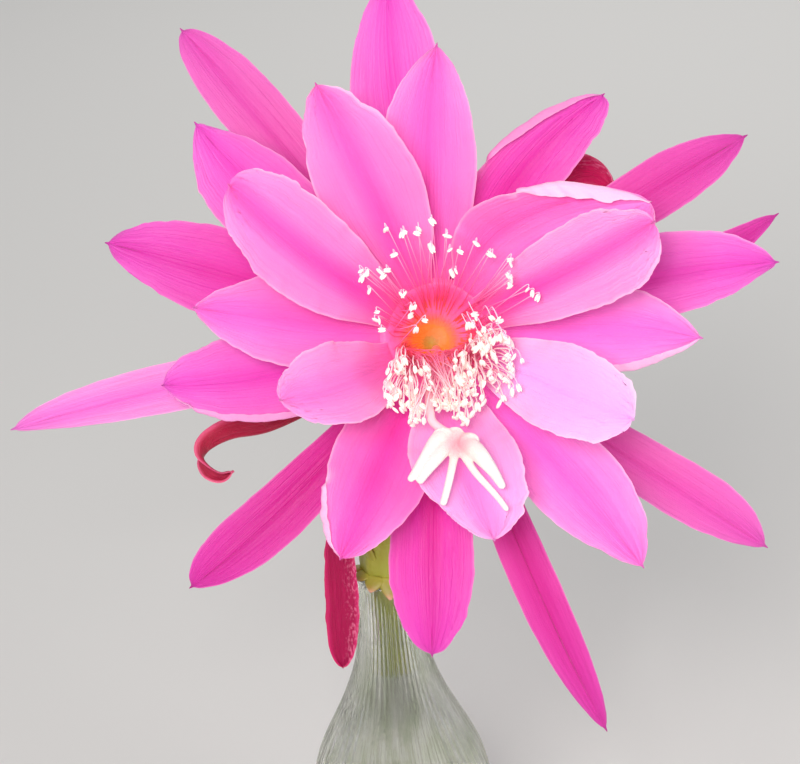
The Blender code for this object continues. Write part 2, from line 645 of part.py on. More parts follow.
def mass_stamen(draw, share):
    """Return the path of a stamen of the drooping mass, root to anther."""
    azimuth = MASS_START + (MASS_END - MASS_START) * share
    depth = draw.uniform(-10.5, -3.0)
    root = cavity_radius(depth) - GAP - COLLAR_WALL / 2
    side = 2.0 * share - 1.0 + draw.uniform(-0.08, 0.08)
    spread = draw.uniform(-1.0, 1.0) * math.sqrt(max(1.0 - side * side, 0.0))
    lift = draw.uniform(14.5, 19.0)
    across = MASS_MIDDLE[0] + MASS_SPREAD[0] * side
    tip = Vector((across, MASS_MIDDLE[1] + MASS_SPREAD[1] * spread, lift))
    shoulder = polar(root * 0.86, azimuth, depth + 7.0)
    crest = shoulder.lerp(tip, 0.6) + Vector((0.0, 1.2, 3.0))
    return [polar(root, azimuth, depth), shoulder, crest, tip]


def distance_to_path(point, path):
    """Return the shortest distance from a point to a path's points."""
    return min((point - place).length for place in path)


def stamen_paths():
    """Return the paths of all stamens, drawn again where they would cross the style."""
    draw = random.Random(STAMEN_SEED)
    style = smooth_points(STYLE_POINTS + [STIGMA_HUB], 8)
    paths = []
    for maker, count in ((fan_stamen, FAN_COUNT), (mass_stamen, MASS_COUNT)):
        for index in range(count):
            for _ in range(STAMEN_TRIES):
                path = smooth_points(maker(draw, (index + 0.5) / count), FILAMENT_STEPS)
                near = min(distance_to_path(place, style) for place in path)
                tip = distance_to_path(path[-1], style)
                if near > STYLE_CLEARANCE and tip > STYLE_CLEARANCE + ANTHER_LENGTH:
                    paths.append(path)
                    break
    return paths


def stamen_mesh(path, draw, group):
    """Return one stamen: a slim filament that swells into a long grain at its tip."""
    rows = path[::FILAMENT_SPACING]
    lean = Vector((draw.uniform(-0.6, 0.6), draw.uniform(-0.7, 0.2), draw.uniform(-0.4, 0.4)))
    axis = ((rows[-1] - rows[-2]).normalized() + lean).normalized()
    radii = [FILAMENT_RADIUS] * len(rows)
    for share, radius in ((0.2, ANTHER_RADIUS), (0.8, ANTHER_RADIUS), (1.0, ANTHER_RADIUS / 2)):
        rows.append(path[-1] + axis * ANTHER_LENGTH * share)
        radii.append(radius)
    return tube_mesh("stamen", rows, radii, 4, group)


def build_stamens(group, material, frame):
    """Make the stamens: a collar lining the throat with filaments and anthers fused on."""
    front = cavity_radius(COLLAR_FRONT) - GAP
    back = cavity_radius(COLLAR_BACK) - GAP
    profile = [
        (back - COLLAR_WALL, COLLAR_BACK), (front - COLLAR_WALL, COLLAR_FRONT),
        (front, COLLAR_FRONT), (back, COLLAR_BACK), (back - COLLAR_WALL, COLLAR_BACK),
    ]
    mesh = turned_mesh("stamens", profile, TUBE_SIDES, group)
    stamens = add_object("stamens", mesh, group, material)
    draw = random.Random(STAMEN_SEED + 1)
    pieces = [stamen_mesh(path, draw, group) for path in stamen_paths()]
    join_pieces(stamens, pieces, "MANIFOLD")
    stamens.data.transform(frame)
    stamens.data.materials.clear()
    stamens.data.materials.append(material)
    return stamens


def build_style(group, material, frame):
    """Make the style: a slim column that arches out of the throat and down."""
    hub = Vector(STIGMA_HUB)
    last = Vector(STYLE_POINTS[-1])
    seat = hub + (last - hub).normalized() * (HUB_RADIUS + SEAT_GAP)
    points = smooth_points(STYLE_POINTS + [seat], 2)
    mesh = tube_mesh("style", points, [STYLE_RADIUS] * len(points), 8, group)
    mesh.transform(frame)
    return add_object("style", mesh, group, material)


def build_stigma(group, material, frame):
    """Make the stigma: a small hub with spreading lobes."""
    bm = bmesh.new()
    bmesh.ops.create_icosphere(bm, subdivisions=2, radius=HUB_RADIUS * MM)
    bmesh.ops.translate(bm, verts=bm.verts, vec=Vector(STIGMA_HUB) * MM)
    mesh = bpy.data.meshes.new("stigma")
    bm.to_mesh(mesh)
    bm.free()
    stigma = add_object("stigma", mesh, group, material)
    lobes = []
    for radius, points in STIGMA_LOBES:
        rows = smooth_points(points, 2)
        radii = [radius * (1.0 - LOBE_TAPER * index / len(rows)) for index in range(len(rows))]
        lobes.append(tube_mesh("lobe", rows, radii, 6, group))
    join_pieces(stigma, lobes, "EXACT")
    stigma.data.transform(frame)
    stigma.data.materials.clear()
    stigma.data.materials.append(material)
    return stigma


def blade_finish(name):
    """Return the finish of a petal or sepal from its name."""
    if name.startswith(("inner", "middle")):
        return "inner_petal"
    return "outer_petal" if name.startswith("outer") else "sepal"


def build_all():
    """Build the vase, the water and the bloom."""
    clear_scene()
    group = make_collection("orchid_cactus_bloom")
    make_collection("cutters")
    finishes = {name: make_material(name) for name in COLOURS}
    frame = bloom_frame()
    bloom = bpy.data.objects.new("bloom_axis", None)
    group.objects.link(bloom)
    bloom.matrix_world = frame
    build_vase(group, finishes["glass"])
    build_water(group, finishes["water"])
    build_tube(group, finishes["green_tube"], frame)
    for blade in BLADES:
        build_blade(blade, group, finishes[blade_finish(blade.name)], bloom)
    for strap in STRAPS:
        build_strap(strap, group, finishes["scale"], bloom)
    build_stamens(group, finishes["stamen"], frame)
    build_style(group, finishes["style"], frame)
    build_stigma(group, finishes["stigma"], frame)


build_all()
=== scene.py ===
"""Looks of an orchid cactus bloom in a ribbed clear glass bud vase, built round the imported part.

Each piece stands for nodes of the part and keeps their form at a finer size. Sizes are in
millimetres, and become metres as the meshes are made. The bloom's own frame has its origin in
the middle of the throat: across to the right, up along the face, forward out of the face.
"""
import logging
import math
import random
from dataclasses import dataclass, field
from enum import Enum
from typing import Callable, Optional, Sequence, Union

import bmesh
import bpy
from mathutils import Matrix, Vector


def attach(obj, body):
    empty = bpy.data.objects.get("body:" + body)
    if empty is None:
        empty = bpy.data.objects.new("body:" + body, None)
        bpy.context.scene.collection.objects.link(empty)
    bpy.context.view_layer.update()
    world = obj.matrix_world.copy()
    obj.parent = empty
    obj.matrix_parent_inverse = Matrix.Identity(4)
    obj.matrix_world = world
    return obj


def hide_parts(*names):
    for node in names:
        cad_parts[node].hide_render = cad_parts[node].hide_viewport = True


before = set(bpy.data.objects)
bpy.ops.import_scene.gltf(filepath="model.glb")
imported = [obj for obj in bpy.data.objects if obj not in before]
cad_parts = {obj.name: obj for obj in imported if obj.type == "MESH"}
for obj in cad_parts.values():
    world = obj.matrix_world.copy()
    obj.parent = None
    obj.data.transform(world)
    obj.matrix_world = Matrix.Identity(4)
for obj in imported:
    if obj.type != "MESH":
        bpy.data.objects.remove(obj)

log = logging.getLogger("orchid_cactus")

MM = 0.001
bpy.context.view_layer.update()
Colour = tuple[float, float, float, float]
Point = tuple[float, float, float]


class Slot(Enum):
    """The record's material slots."""

    GLASS = "glass"
    WATER = "water"
    GREEN_TUBE = "green_tube"
    INNER_PETAL = "inner_petal"
    OUTER_PETAL = "outer_petal"
    SEPAL = "sepal"
    SCALE = "scale"
    STAMEN = "stamen"
    STYLE = "style"
    STIGMA = "stigma"


def screen(red: int, green: int, blue: int) -> Colour:
    """Return the linear colour of a screen colour.

    Args:
        red: Red from 0 to 255.
        green: Green from 0 to 255.
        blue: Blue from 0 to 255.

    Returns:
        The linear red, green, blue and a full alpha.
    """
    shares = [value / 255.0 for value in (red, green, blue)]
    linear = [v / 12.92 if v <= 0.04045 else ((v + 0.055) / 1.055) ** 2.4 for v in shares]
    return (linear[0], linear[1], linear[2], 1.0)


def ramp(*stops: tuple[float, int, int, int]) -> tuple[tuple[float, Colour], ...]:
    """Return a colour ramp's stops from the place and screen colour of each."""
    return tuple((place, screen(red, green, blue)) for place, red, green, blue in stops)


def add_object(name: str, data: bpy.types.ID) -> bpy.types.Object:
    """Put data in the scene as an object.

    Args:
        name: The object's name.
        data: The mesh, curve, light or camera.

    Returns:
        The object.
    """
    added = bpy.data.objects.new(name, data)
    bpy.context.scene.collection.objects.link(added)
    return added


# Nodes


def operator(operation: str, swapped: bool = False) -> Callable[..., "Wire"]:
    """Make a method of Wire that adds a Math or Vector Math node.

    Args:
        operation: The node's operation.
        swapped: Whether the wire is the second term, as in a reflected operator.

    Returns:
        The method.
    """

    def method(wire: "Wire", other: "Term" = 0.0) -> "Wire":
        """Return the operation's result on the wire and the other term."""
        terms = (other, wire) if swapped else (wire, other)
        return wire.graph.maths(operation, *terms)

    return method


class Wire:
    """An output socket; Python's operators on it add Math and Vector Math nodes."""

    __add__, __radd__ = operator("ADD"), operator("ADD", swapped=True)
    __sub__, __rsub__ = operator("SUBTRACT"), operator("SUBTRACT", swapped=True)
    __mul__, __rmul__ = operator("MULTIPLY"), operator("MULTIPLY", swapped=True)
    __truediv__, __rtruediv__ = operator("DIVIDE"), operator("DIVIDE", swapped=True)
    __pow__ = operator("POWER")
    __abs__ = operator("ABSOLUTE")
    at_least, at_most = operator("MAXIMUM"), operator("MINIMUM")
    sine, cosine = operator("SINE"), operator("COSINE")
    below = operator("LESS_THAN")

    def __init__(self, graph: "Graph", source: bpy.types.NodeSocket) -> None:
        """Keep the graph that new nodes go to and the socket that they read."""
        self.graph = graph
        self.source = source

    def share(self) -> "Wire":
        """Return self held between 0 and 1."""
        return self.at_least(0.0).at_most(1.0)


Term = Union[Wire, float, int]


class Graph:
    """Adds nodes to one tree, of a material or of Geometry Nodes."""

    def __init__(self, tree: bpy.types.NodeTree) -> None:
        """Keep the tree."""
        self.tree = tree

    def node(self, kind: str, settings: Optional[dict] = None,
             sockets: Optional[dict] = None) -> bpy.types.Node:
        """Add a node.

        Args:
            kind: The node's type.
            settings: Its settings by name, set first; stops are a ramp's (place, colour) pairs.
            sockets: The value or wire of each input, by name or number.

        Returns:
            The new node.
        """
        node = self.tree.nodes.new(kind)
        for name, value in (settings or {}).items():
            if name == "stops":
                self.set_stops(node.color_ramp, value)
            else:
                setattr(node, name, value)
        for key, value in (sockets or {}).items():
            self.feed(node.inputs[key], value)
        return node

    @staticmethod
    def set_stops(ramp: bpy.types.ColorRamp, stops: Sequence[tuple[float, Colour]]) -> None:
        """Give a colour ramp its stops.

        Args:
            ramp: The ramp.
            stops: The place and colour of each, in order.
        """
        while len(ramp.elements) > 1:
            ramp.elements.remove(ramp.elements[-1])
        for index, (place, colour) in enumerate(stops):
            element = ramp.elements[0] if index == 0 else ramp.elements.new(place)
            element.position = place
            element.color = colour

    def feed(self, socket: bpy.types.NodeSocket, value: object) -> None:
        """Link a wire to an input, or set the input's own value.

        Args:
            socket: The input.
            value: A wire, or a constant value.
        """
        if isinstance(value, Wire):
            self.tree.links.new(value.source, socket)
        else:
            socket.default_value = value

    def wire(self, kind: str, settings: Optional[dict] = None, sockets: Optional[dict] = None,
             output: Union[int, str] = 0) -> Wire:
        """Add a node and return one of its outputs as a wire."""
        return Wire(self, self.node(kind, settings, sockets).outputs[output])

    def maths(self, operation: str, first: object, second: object = 0.0) -> Wire:
        """Add a Math node, or a Vector Math node where a term is a vector.

        Args:
            operation: The node's operation.
            first: The first term.
            second: The second term.

        Returns:
            The result as a wire.
        """
        vectors = [isinstance(term, Wire) and term.source.type == "VECTOR" for term in (first, second)]
        if not any(vectors):
            return self.wire("ShaderNodeMath", {"operation": operation}, {0: first, 1: second})
        if operation == "MULTIPLY" and not all(vectors):
            vector, scale = (first, second) if vectors[0] else (second, first)
            return self.wire("ShaderNodeVectorMath", {"operation": "SCALE"}, {0: vector, "Scale": scale})
        return self.vector_maths(operation, first, second)

    def vector_maths(self, operation: str, *terms: object, output: Union[int, str] = 0) -> Wire:
        """Add a Vector Math node that reads the terms in order."""
        return self.wire("ShaderNodeVectorMath", {"operation": operation}, dict(enumerate(terms)), output)

    def dot(self, first: Wire, second: object) -> Wire:
        """Return the dot product of two vectors."""
        return self.vector_maths("DOT_PRODUCT", first, second, output="Value")

    def unit(self, vector: Wire) -> Wire:
        """Return a vector at length 1."""
        return self.vector_maths("NORMALIZE", vector)

    def cross(self, first: Wire, second: Wire) -> Wire:
        """Return the cross product of two vectors."""
        return self.vector_maths("CROSS_PRODUCT", first, second)

    def vector(self, x: Term, y: Term, z: Term) -> Wire:
        """Return a vector from its three parts."""
        return self.wire("ShaderNodeCombineXYZ", None, {0: x, 1: y, 2: z})

    def split(self, vector: Wire) -> tuple[Wire, Wire, Wire]:
        """Split a vector.

        Args:
            vector: The vector.

        Returns:
            Its three parts.
        """
        node = self.node("ShaderNodeSeparateXYZ", None, {0: vector})
        x, y, z = (Wire(self, output) for output in node.outputs)
        return x, y, z

    def mix(self, factor: Term, first: object, second: object) -> Wire:
        """Return a colour between two colours."""
        return self.wire("ShaderNodeMix", {"data_type": "RGBA"}, {0: factor, 6: first, 7: second}, 2)

    def noise(self, vector: Wire, scale: float, detail: float = 2.0) -> Wire:
        """Return noise from about 0 to 1 at a place."""
        return self.wire("ShaderNodeTexNoise", None, {"Vector": vector, "Scale": scale, "Detail": detail})

    def attribute(self, name: str) -> Wire:
        """Return a vector that the piece's mesh carries under a name."""
        return self.wire("ShaderNodeAttribute", {"attribute_name": name}, None, "Vector")

    def own_place(self) -> Wire:
        """Return the place on the piece, in metres."""
        return self.wire("ShaderNodeTexCoord", None, None, "Object")


class Growth(Graph):
    """A Geometry Nodes tree with named inputs that grows a mesh from a rule."""

    KINDS = {
        float: "NodeSocketFloat", int: "NodeSocketInt", tuple: "NodeSocketVector",
        bpy.types.Object: "NodeSocketObject", bpy.types.Material: "NodeSocketMaterial",
    }
    CREASE_ANGLE = 1.2

    def __init__(self, name: str, inputs: dict[str, type]) -> None:
        """Start a tree.

        Args:
            name: The tree's name.
            inputs: The kind of each named input.
        """
        super().__init__(bpy.data.node_groups.new(name, "GeometryNodeTree"))
        for label, kind in inputs.items():
            self.tree.interface.new_socket(label, in_out="INPUT", socket_type=self.KINDS[kind])
        self.tree.interface.new_socket("Mesh", in_out="OUTPUT", socket_type="NodeSocketGeometry")
        self.entry = self.node("NodeGroupInput")

    def input(self, label: str) -> Wire:
        """Return a named input as a wire."""
        return Wire(self, self.entry.outputs[label])

    def store(self, geometry: Wire, name: str, value: Wire) -> Wire:
        """Store a vector on each point.

        Args:
            geometry: What the points belong to.
            name: The name to store it under.
            value: The vector.

        Returns:
            The geometry with the stored vector.
        """
        return self.wire(
            "GeometryNodeStoreNamedAttribute", {"data_type": "FLOAT_VECTOR", "domain": "POINT"},
            {"Geometry": geometry, "Name": name, "Value": value})

    def stored(self, name: str) -> Wire:
        """Return the stored vector of a name."""
        return self.wire("GeometryNodeInputNamedAttribute", {"data_type": "FLOAT_VECTOR"}, {"Name": name})

    def place(self, geometry: Wire, position: Wire) -> Wire:
        """Move each point to a position."""
        return self.wire("GeometryNodeSetPosition", None, {"Geometry": geometry, "Position": position})

    def shift(self, geometry: Wire, offset: Wire) -> Wire:
        """Move each point by an offset."""
        return self.wire("GeometryNodeSetPosition", None, {"Geometry": geometry, "Offset": offset})

    def helper(self, label: str) -> Wire:
        """Return the geometry of the object that a named input gives."""
        return self.wire("GeometryNodeObjectInfo", None, {"Object": self.input(label)}, "Geometry")

    def grid(self, columns: str, rows: str) -> tuple[Wire, Wire, Wire]:
        """Start from a flat grid whose sides are 1 long.

        Args:
            columns: The named input that gives its points in a row.
            rows: The named input that gives its rows.

        Returns:
            The grid, and the x and y of its points, from -0.5 to 0.5.
        """
        flat = self.wire("GeometryNodeMeshGrid", None, {
            "Size X": 1.0, "Size Y": 1.0, "Vertices X": self.input(columns), "Vertices Y": self.input(rows)})
        x, y, _ = self.split(self.wire("GeometryNodeInputPosition"))
        return flat, x, y

    def drawn(self, low: Point, high: Point, seed: Wire) -> Wire:
        """Return a vector drawn for each point between two limits."""
        return self.wire("FunctionNodeRandomValue", {"data_type": "FLOAT_VECTOR"},
                         {0: low, 1: high, "Seed": seed})

    def join(self, *pieces: Wire) -> Wire:
        """Join geometries.

        Args:
            pieces: The geometries.

        Returns:
            One geometry of them all.
        """
        node = self.node("GeometryNodeJoinGeometry")
        for piece in pieces:
            self.tree.links.new(piece.source, node.inputs[0])
        return Wire(self, node.outputs[0])

    def finish(self, geometry: Wire, creased: bool = False) -> None:
        """End the tree: real instances, smooth shading and the finish.

        Args:
            geometry: What the tree has grown.
            creased: Whether thin rims part the shading of the two sides.
        """
        real = self.wire("GeometryNodeRealizeInstances", None, {0: geometry})
        smooth = self.wire("GeometryNodeSetShadeSmooth", None, {0: real})
        if creased:
            flat = self.wire("GeometryNodeInputMeshEdgeAngle").below(self.CREASE_ANGLE)
            smooth = self.wire("GeometryNodeSetShadeSmooth", {"domain": "EDGE"}, {
                0: smooth, "Selection": 1.0 - flat, "Shade Smooth": False})
        painted = self.wire("GeometryNodeSetMaterial", None, {0: smooth, "Material": self.input("Finish")})
        self.tree.links.new(painted.source, self.node("NodeGroupOutput").inputs[0])

    def grow(self, values: dict[str, object]) -> bpy.types.Mesh:
        """Run the tree.

        Args:
            values: The value of each named input.

        Returns:
            The result as a plain mesh.
        """
        holder = add_object(self.tree.name, bpy.data.meshes.new(self.tree.name))
        modifier = holder.modifiers.new("growth", "NODES")
        modifier.node_group = self.tree
        for item in self.tree.interface.items_tree:
            if item.in_out == "INPUT":
                modifier[item.identifier] = values[item.name]
        depsgraph = bpy.context.evaluated_depsgraph_get()
        mesh = bpy.data.meshes.new_from_object(
            holder.evaluated_get(depsgraph), preserve_all_data_layers=True, depsgraph=depsgraph)
        bpy.data.objects.remove(holder, do_unlink=True)
        return mesh


# Finishes


@dataclass(frozen=True)
class Finish:
    """A finish: a Principled shader whose constant values are set on its sockets."""

    name: str

    def constants(self) -> dict[str, object]:
        """Return the shader's constant values by socket."""
        return {}

    def paint(self, graph: Graph, shader: bpy.types.Node) -> None:
        """Add what varies over the surface.

        Args:
            graph: The material's graph.
            shader: Its Principled shader.
        """

    def material(self) -> bpy.types.Material:
        """Make the finish's material, or find it.

        Returns:
            The material, the same at each call.
        """
        found = bpy.data.materials.get(self.name)
        if found:
            return found
        made = bpy.data.materials.new(self.name)
        made.use_nodes = True
        made.node_tree.nodes.clear()
        graph = Graph(made.node_tree)
        shader = graph.node("ShaderNodeBsdfPrincipled", None, self.constants())
        graph.node("ShaderNodeOutputMaterial", None, {"Surface": Wire(graph, shader.outputs[0])})
        self.paint(graph, shader)
        return made


def bump(graph: Graph, shader: bpy.types.Node, height: Wire, depth: float) -> None:
    """Feed a bump to the shader's normal.

    Args:
        graph: The material's graph.
        shader: Its Principled shader.
        height: The relief, from 0 to about 1.
        depth: The relief's depth in millimetres.
    """
    normal = graph.wire("ShaderNodeBump", None, {"Height": height, "Distance": depth * MM, "Strength": 1.0})
    graph.feed(shader.inputs["Normal"], normal)


@dataclass(frozen=True)
class PetalFinish(Finish):
    """Petal skin: a warm stripe along the middle, pale sides, fine veins that run lengthways, a painted
    highlight along the thin rim and a faint painted glow.
    """

    pale: Colour
    stripe: Colour
    margin: Colour
    heart: Colour
    under_and_rim_highlight: Colour
    stripe_width: float
    heart_reach: float
    end_tint: float
    seed: float
    violet: Colour = screen(230, 86, 216)
    veins_across: float = 11.0
    veins_along: float = 1.1
    vein_level: float = 0.62
    vein_share: float = 0.22
    stripe_fade: float = 0.55
    margin_start: float = 0.35
    rim_highlight_start: float = 0.94
    cells_along: float = 40.0
    cell_share: float = 0.25
    relief: float = 0.35

    def constants(self) -> dict[str, object]:
        """Return soft, slightly translucent skin that gives off a faint painted glow, lifting its shade."""
        return {"Subsurface Weight": 0.12, "Subsurface Radius": (2.4, 0.7, 1.5), "Subsurface Scale": MM,
                "IOR": 1.4, "Sheen Weight": 0.15, "Sheen Roughness": 0.4, "Emission Strength": 0.07}

    def paint(self, graph: Graph, shader: bpy.types.Node) -> None:
        """Paint the stripe, sides, heart and veins from the blade's own coordinates, and a painted highlight
        along the rim.

        Args:
            graph: The material's graph.
            shader: Its Principled shader.
        """
        along, side, half = graph.split(graph.attribute("blade"))
        edge, folded, _ = graph.split(graph.attribute("rim"))
        veins = graph.noise(
            graph.vector(side * self.veins_across, along * self.veins_along, self.seed), 2.0, 3.0)
        cloud = graph.noise(graph.vector(side * 1.6, along * 2.6, self.seed + 4.0), 1.0, 1.0)
        off = abs(side) * half / self.stripe_width
        stripe = (1.0 - off ** 1.6 * self.stripe_fade).share() * (1.15 - along * 0.35)
        stripe = (stripe * (0.72 + veins * 0.5)).share()
        margin = ((abs(side) - self.margin_start) / (1.0 - self.margin_start)).share() ** 1.5
        # Painted highlight: a thin pale line along the rim, in the underside's colour
        rim_highlight = ((abs(edge) - self.rim_highlight_start) * 16.0).share() * (0.15 + cloud * 0.7)
        colour = graph.mix(stripe, self.pale, self.stripe)
        for share, tint in (
                ((margin * (0.55 + cloud * 0.7)).share(), self.margin),
                (((self.vein_level - veins) * 2.2).share() * self.vein_share, self.stripe),
                (along ** 3.0 * self.end_tint, self.violet),
                ((1.0 - along / self.heart_reach).share() ** 1.2, self.heart),
                ((folded * 0.8).share(), self.under_and_rim_highlight),
                (rim_highlight, self.under_and_rim_highlight)):
            colour = graph.mix(share, colour, tint)
        graph.feed(shader.inputs["Base Color"], colour)
        # Painted glow: the skin gives off its own colour, lifting its shade
        graph.feed(shader.inputs["Emission Color"], colour)
        graph.feed(shader.inputs["Roughness"], 0.40 + veins * 0.16)
        cells = graph.noise(graph.vector(side * half, along * self.cells_along, self.seed), 2.2, 2.0)
        bump(graph, shader, veins + cells * self.cell_share, self.relief)


@dataclass(frozen=True)
class ScaleFinish(Finish):
    """Crimson, waxy skin of a scale, paler on its rim and flecked with light."""

    deep: Colour
    pale: Colour
    fleck_highlights: float = 0.0
    fleck_highlight_colour: Colour = screen(238, 128, 164)
    streaks_across: float = 9.0
    streaks_along: float = 3.0
    spots_across: float = 1.6
    spots_along: float = 44.0
    spot_level: float = 0.60
    rim_start: float = 0.62
    relief: float = 0.5

    def constants(self) -> dict[str, object]:
        """Return waxy skin."""
        return {"Subsurface Weight": 0.06, "Subsurface Radius": (1.6, 0.3, 0.5), "Subsurface Scale": MM,
                "Coat Roughness": 0.3, "Specular IOR Level": 0.25}

    def paint(self, graph: Graph, shader: bpy.types.Node) -> None:
        """Paint the deep middle, the pale rim and the flecks.

        Args:
            Paint the deep middle, the pale rim and the skin's pale flecks, which gather on the lit side as a
            painted highlight.
            shader: Its Principled shader.
        """
        along, side, half = graph.split(graph.attribute("blade"))
        streaks = graph.noise(
            graph.vector(side * self.streaks_across, along * self.streaks_along, 2.0), 1.6, 3.0)
        rim = ((abs(side) - self.rim_start) / (1.0 - self.rim_start)).share() ** 1.4
        colour = graph.mix((rim * 0.8 + (streaks - 0.5) * 0.8).share(), self.deep, self.pale)
        spots = graph.noise(
            graph.vector(side * half * self.spots_across, along * self.spots_along, 7.0), 1.2, 3.0)
        # Painted highlight: the skin's pale flecks, more of them and glossier towards the lit side
        lit_side = ((side + 0.1) * 1.2).share()
        fleck_highlight = ((spots + side * 0.16 - self.spot_level) * 6.0).share() * lit_side * self.fleck_highlights
        colour = graph.mix(fleck_highlight * 0.8, colour, self.fleck_highlight_colour)
        graph.feed(shader.inputs["Base Color"], colour)
        graph.feed(shader.inputs["Roughness"], 0.42 - streaks * 0.16)
        graph.feed(shader.inputs["Coat Weight"], 0.05 + fleck_highlight * 0.3)
        bump(graph, shader, streaks + spots * 0.4, self.relief)


@dataclass(frozen=True)
class RampFinish(Finish):
    """A finish whose colour runs through stops along one measured value, with fine grain and, where set, a
    painted glow in that colour.
    """

    measure: Callable[[Graph], Wire]
    stops: tuple[tuple[float, Colour], ...]
    grain: float
    relief: float
    roughness: float
    glow: float
    painted_glow: float = 0.0
    colour_waver: float = 0.12
    roughness_waver: float = 0.16

    def constants(self) -> dict[str, object]:
        """Return a soft, slightly translucent surface that gives off any painted glow."""
        return {"Subsurface Weight": self.glow, "Subsurface Radius": (1.2, 0.8, 0.8), "Subsurface Scale": MM,
                "Emission Strength": self.painted_glow}

    def paint(self, graph: Graph, shader: bpy.types.Node) -> None:
        """Paint the colours along the measured value, and the grain.

        Args:
            graph: The material's graph.
            shader: Its Principled shader.
        """
        grain = graph.noise(graph.own_place(), self.grain / MM, 3.0)
        value = self.measure(graph) + (grain - 0.5) * self.colour_waver
        colour = graph.wire("ShaderNodeValToRGB", {"stops": self.stops}, {0: value.share()})
        graph.feed(shader.inputs["Base Color"], colour)
        # Painted glow: the surface gives off its own colour, lifting its shade
        if self.painted_glow:
            graph.feed(shader.inputs["Emission Color"], colour)
        least = self.roughness - self.roughness_waver / 2
        graph.feed(shader.inputs["Roughness"], least + grain * self.roughness_waver)
        bump(graph, shader, grain, self.relief)


@dataclass(frozen=True)
class GlassFinish(Finish):
    """Clear glass with a faint grey-green body and slight ripples."""

    shaded: Colour = screen(222, 228, 208)
    clear: Colour = screen(253, 253, 249)
    streaks_across: float = 260.0
    streaks_up: float = 26.0
    streak_level: float = 0.40

    def constants(self) -> dict[str, object]:
        """Return clear glass."""
        return {"Transmission Weight": 1.0, "IOR": 1.49, "Alpha": 0.9}

    def paint(self, graph: Graph, shader: bpy.types.Node) -> None:
        """Tint the glass a little in streaks that run up and down.

        Args:
            graph: The material's graph.
            shader: Its Principled shader.
        """
        x, y, z = graph.split(graph.own_place())
        across = self.streaks_across
        streak = graph.noise(graph.vector(x * across, y * across, z * self.streaks_up), 1.0, 3.0)
        colour = graph.mix(((streak - self.streak_level) * 6.0).share(), self.shaded, self.clear)
        graph.feed(shader.inputs["Base Color"], colour)
        graph.feed(shader.inputs["Roughness"], 0.01 + (streak - 0.5).share() * 0.05)


@dataclass(frozen=True)
class WaterFinish(Finish):
    """Still, clear water."""

    low: Colour = screen(248, 251, 249)
    high: Colour = screen(252, 253, 252)
    level: float = 100.0

    def constants(self) -> dict[str, object]:
        """Return clear water that hardly bends what stands behind it."""
        return {"Transmission Weight": 1.0, "IOR": 1.33, "Alpha": 0.25}

    def paint(self, graph: Graph, shader: bpy.types.Node) -> None:
        """Leave the water all but clear, a shade greener lower down.

        Args:
            graph: The material's graph.
            shader: Its Principled shader.
        """
        _, _, z = graph.split(graph.own_place())
        height = (z / (self.level * MM)).share()
        graph.feed(shader.inputs["Base Color"], graph.mix(height, self.low, self.high))
        graph.feed(shader.inputs["Roughness"], height * 0.01)


@dataclass(frozen=True)
class FloorFinish(Finish):
    """Plain pale paper."""

    colour: Colour = screen(214, 212, 208)
    roughness: float = 0.9

    def constants(self) -> dict[str, object]:
        """Return matt paper."""
        return {"Base Color": self.colour, "Roughness": self.roughness}


# The bloom's frame, and shared shapes

# The throat's middle, and how far the bloom's face looks upwards
THROAT = Vector((17.9, -20.0, 203.4))
FACE_TILT = math.radians(25.0)
ACROSS = Vector((1.0, 0.0, 0.0))
FORWARD = Vector((0.0, -math.cos(FACE_TILT), math.sin(FACE_TILT)))
UPWARD = FORWARD.cross(ACROSS)

# The funnel that carries the petals, and the cavity in it
FUNNEL_RIM = 14.5
FUNNEL_SLOPE = 0.42
CAVITY_RIM = 13.2
CAVITY_FLOOR = 4.4
CAVITY_DEPTH = 15.0

# The warm glow in the throat: its middle, across and up, and its reach
GLOW_SPOT = (-1.6, -1.8)
GLOW_REACH = 16.0

# How far behind the rim the tube's blush reaches
BLUSH_REACH = 24.0

# How close the two sides of a blade's rim lie, in metres
RIM_MERGE = 0.0000005


def bloom_matrix() -> Matrix:
    """Return the turn and shift, in metres, from the bloom's frame to the row frame."""
    turn = Matrix((ACROSS, UPWARD, FORWARD)).transposed().to_4x4()
    return Matrix.Translation(THROAT * MM) @ turn


def funnel_radius(depth: float) -> float:
    """Return the funnel's outer radius at a depth, negative behind its rim."""
    return FUNNEL_RIM + FUNNEL_SLOPE * depth


def cavity_radius(depth: float) -> float:
    """Return the radius of the throat's cavity at a depth, negative behind its rim."""
    return CAVITY_RIM + (CAVITY_RIM - CAVITY_FLOOR) / CAVITY_DEPTH * depth


def throat_distance(graph: Graph) -> Wire:
    """Measure the distance from the glow in the throat, seen along its axis.

    Args:
        graph: The material's graph.

    Returns:
        The distance as a share of GLOW_REACH.
    """
    start = (THROAT + ACROSS * GLOW_SPOT[0] + UPWARD * GLOW_SPOT[1]) * MM
    offset = graph.own_place() - graph.vector(*start)
    side = graph.dot(offset, tuple(ACROSS))
    height = graph.dot(offset, tuple(UPWARD))
    return (side * side + height * height) ** 0.5 / (GLOW_REACH * MM)


def throat_depth(graph: Graph) -> Wire:
    """Measure how far a place lies behind the throat's rim.

    Args:
        graph: The material's graph.

    Returns:
        The depth as a share of BLUSH_REACH.
    """
    place = graph.own_place()
    start = graph.vector(*(THROAT * MM))
    return graph.dot(place - start, tuple(FORWARD)) / (-BLUSH_REACH * MM)


def stored_along(graph: Graph) -> Wire:
    """Return how far along its own path a place lies, from 0 to 1."""
    return graph.split(graph.attribute("path"))[0]


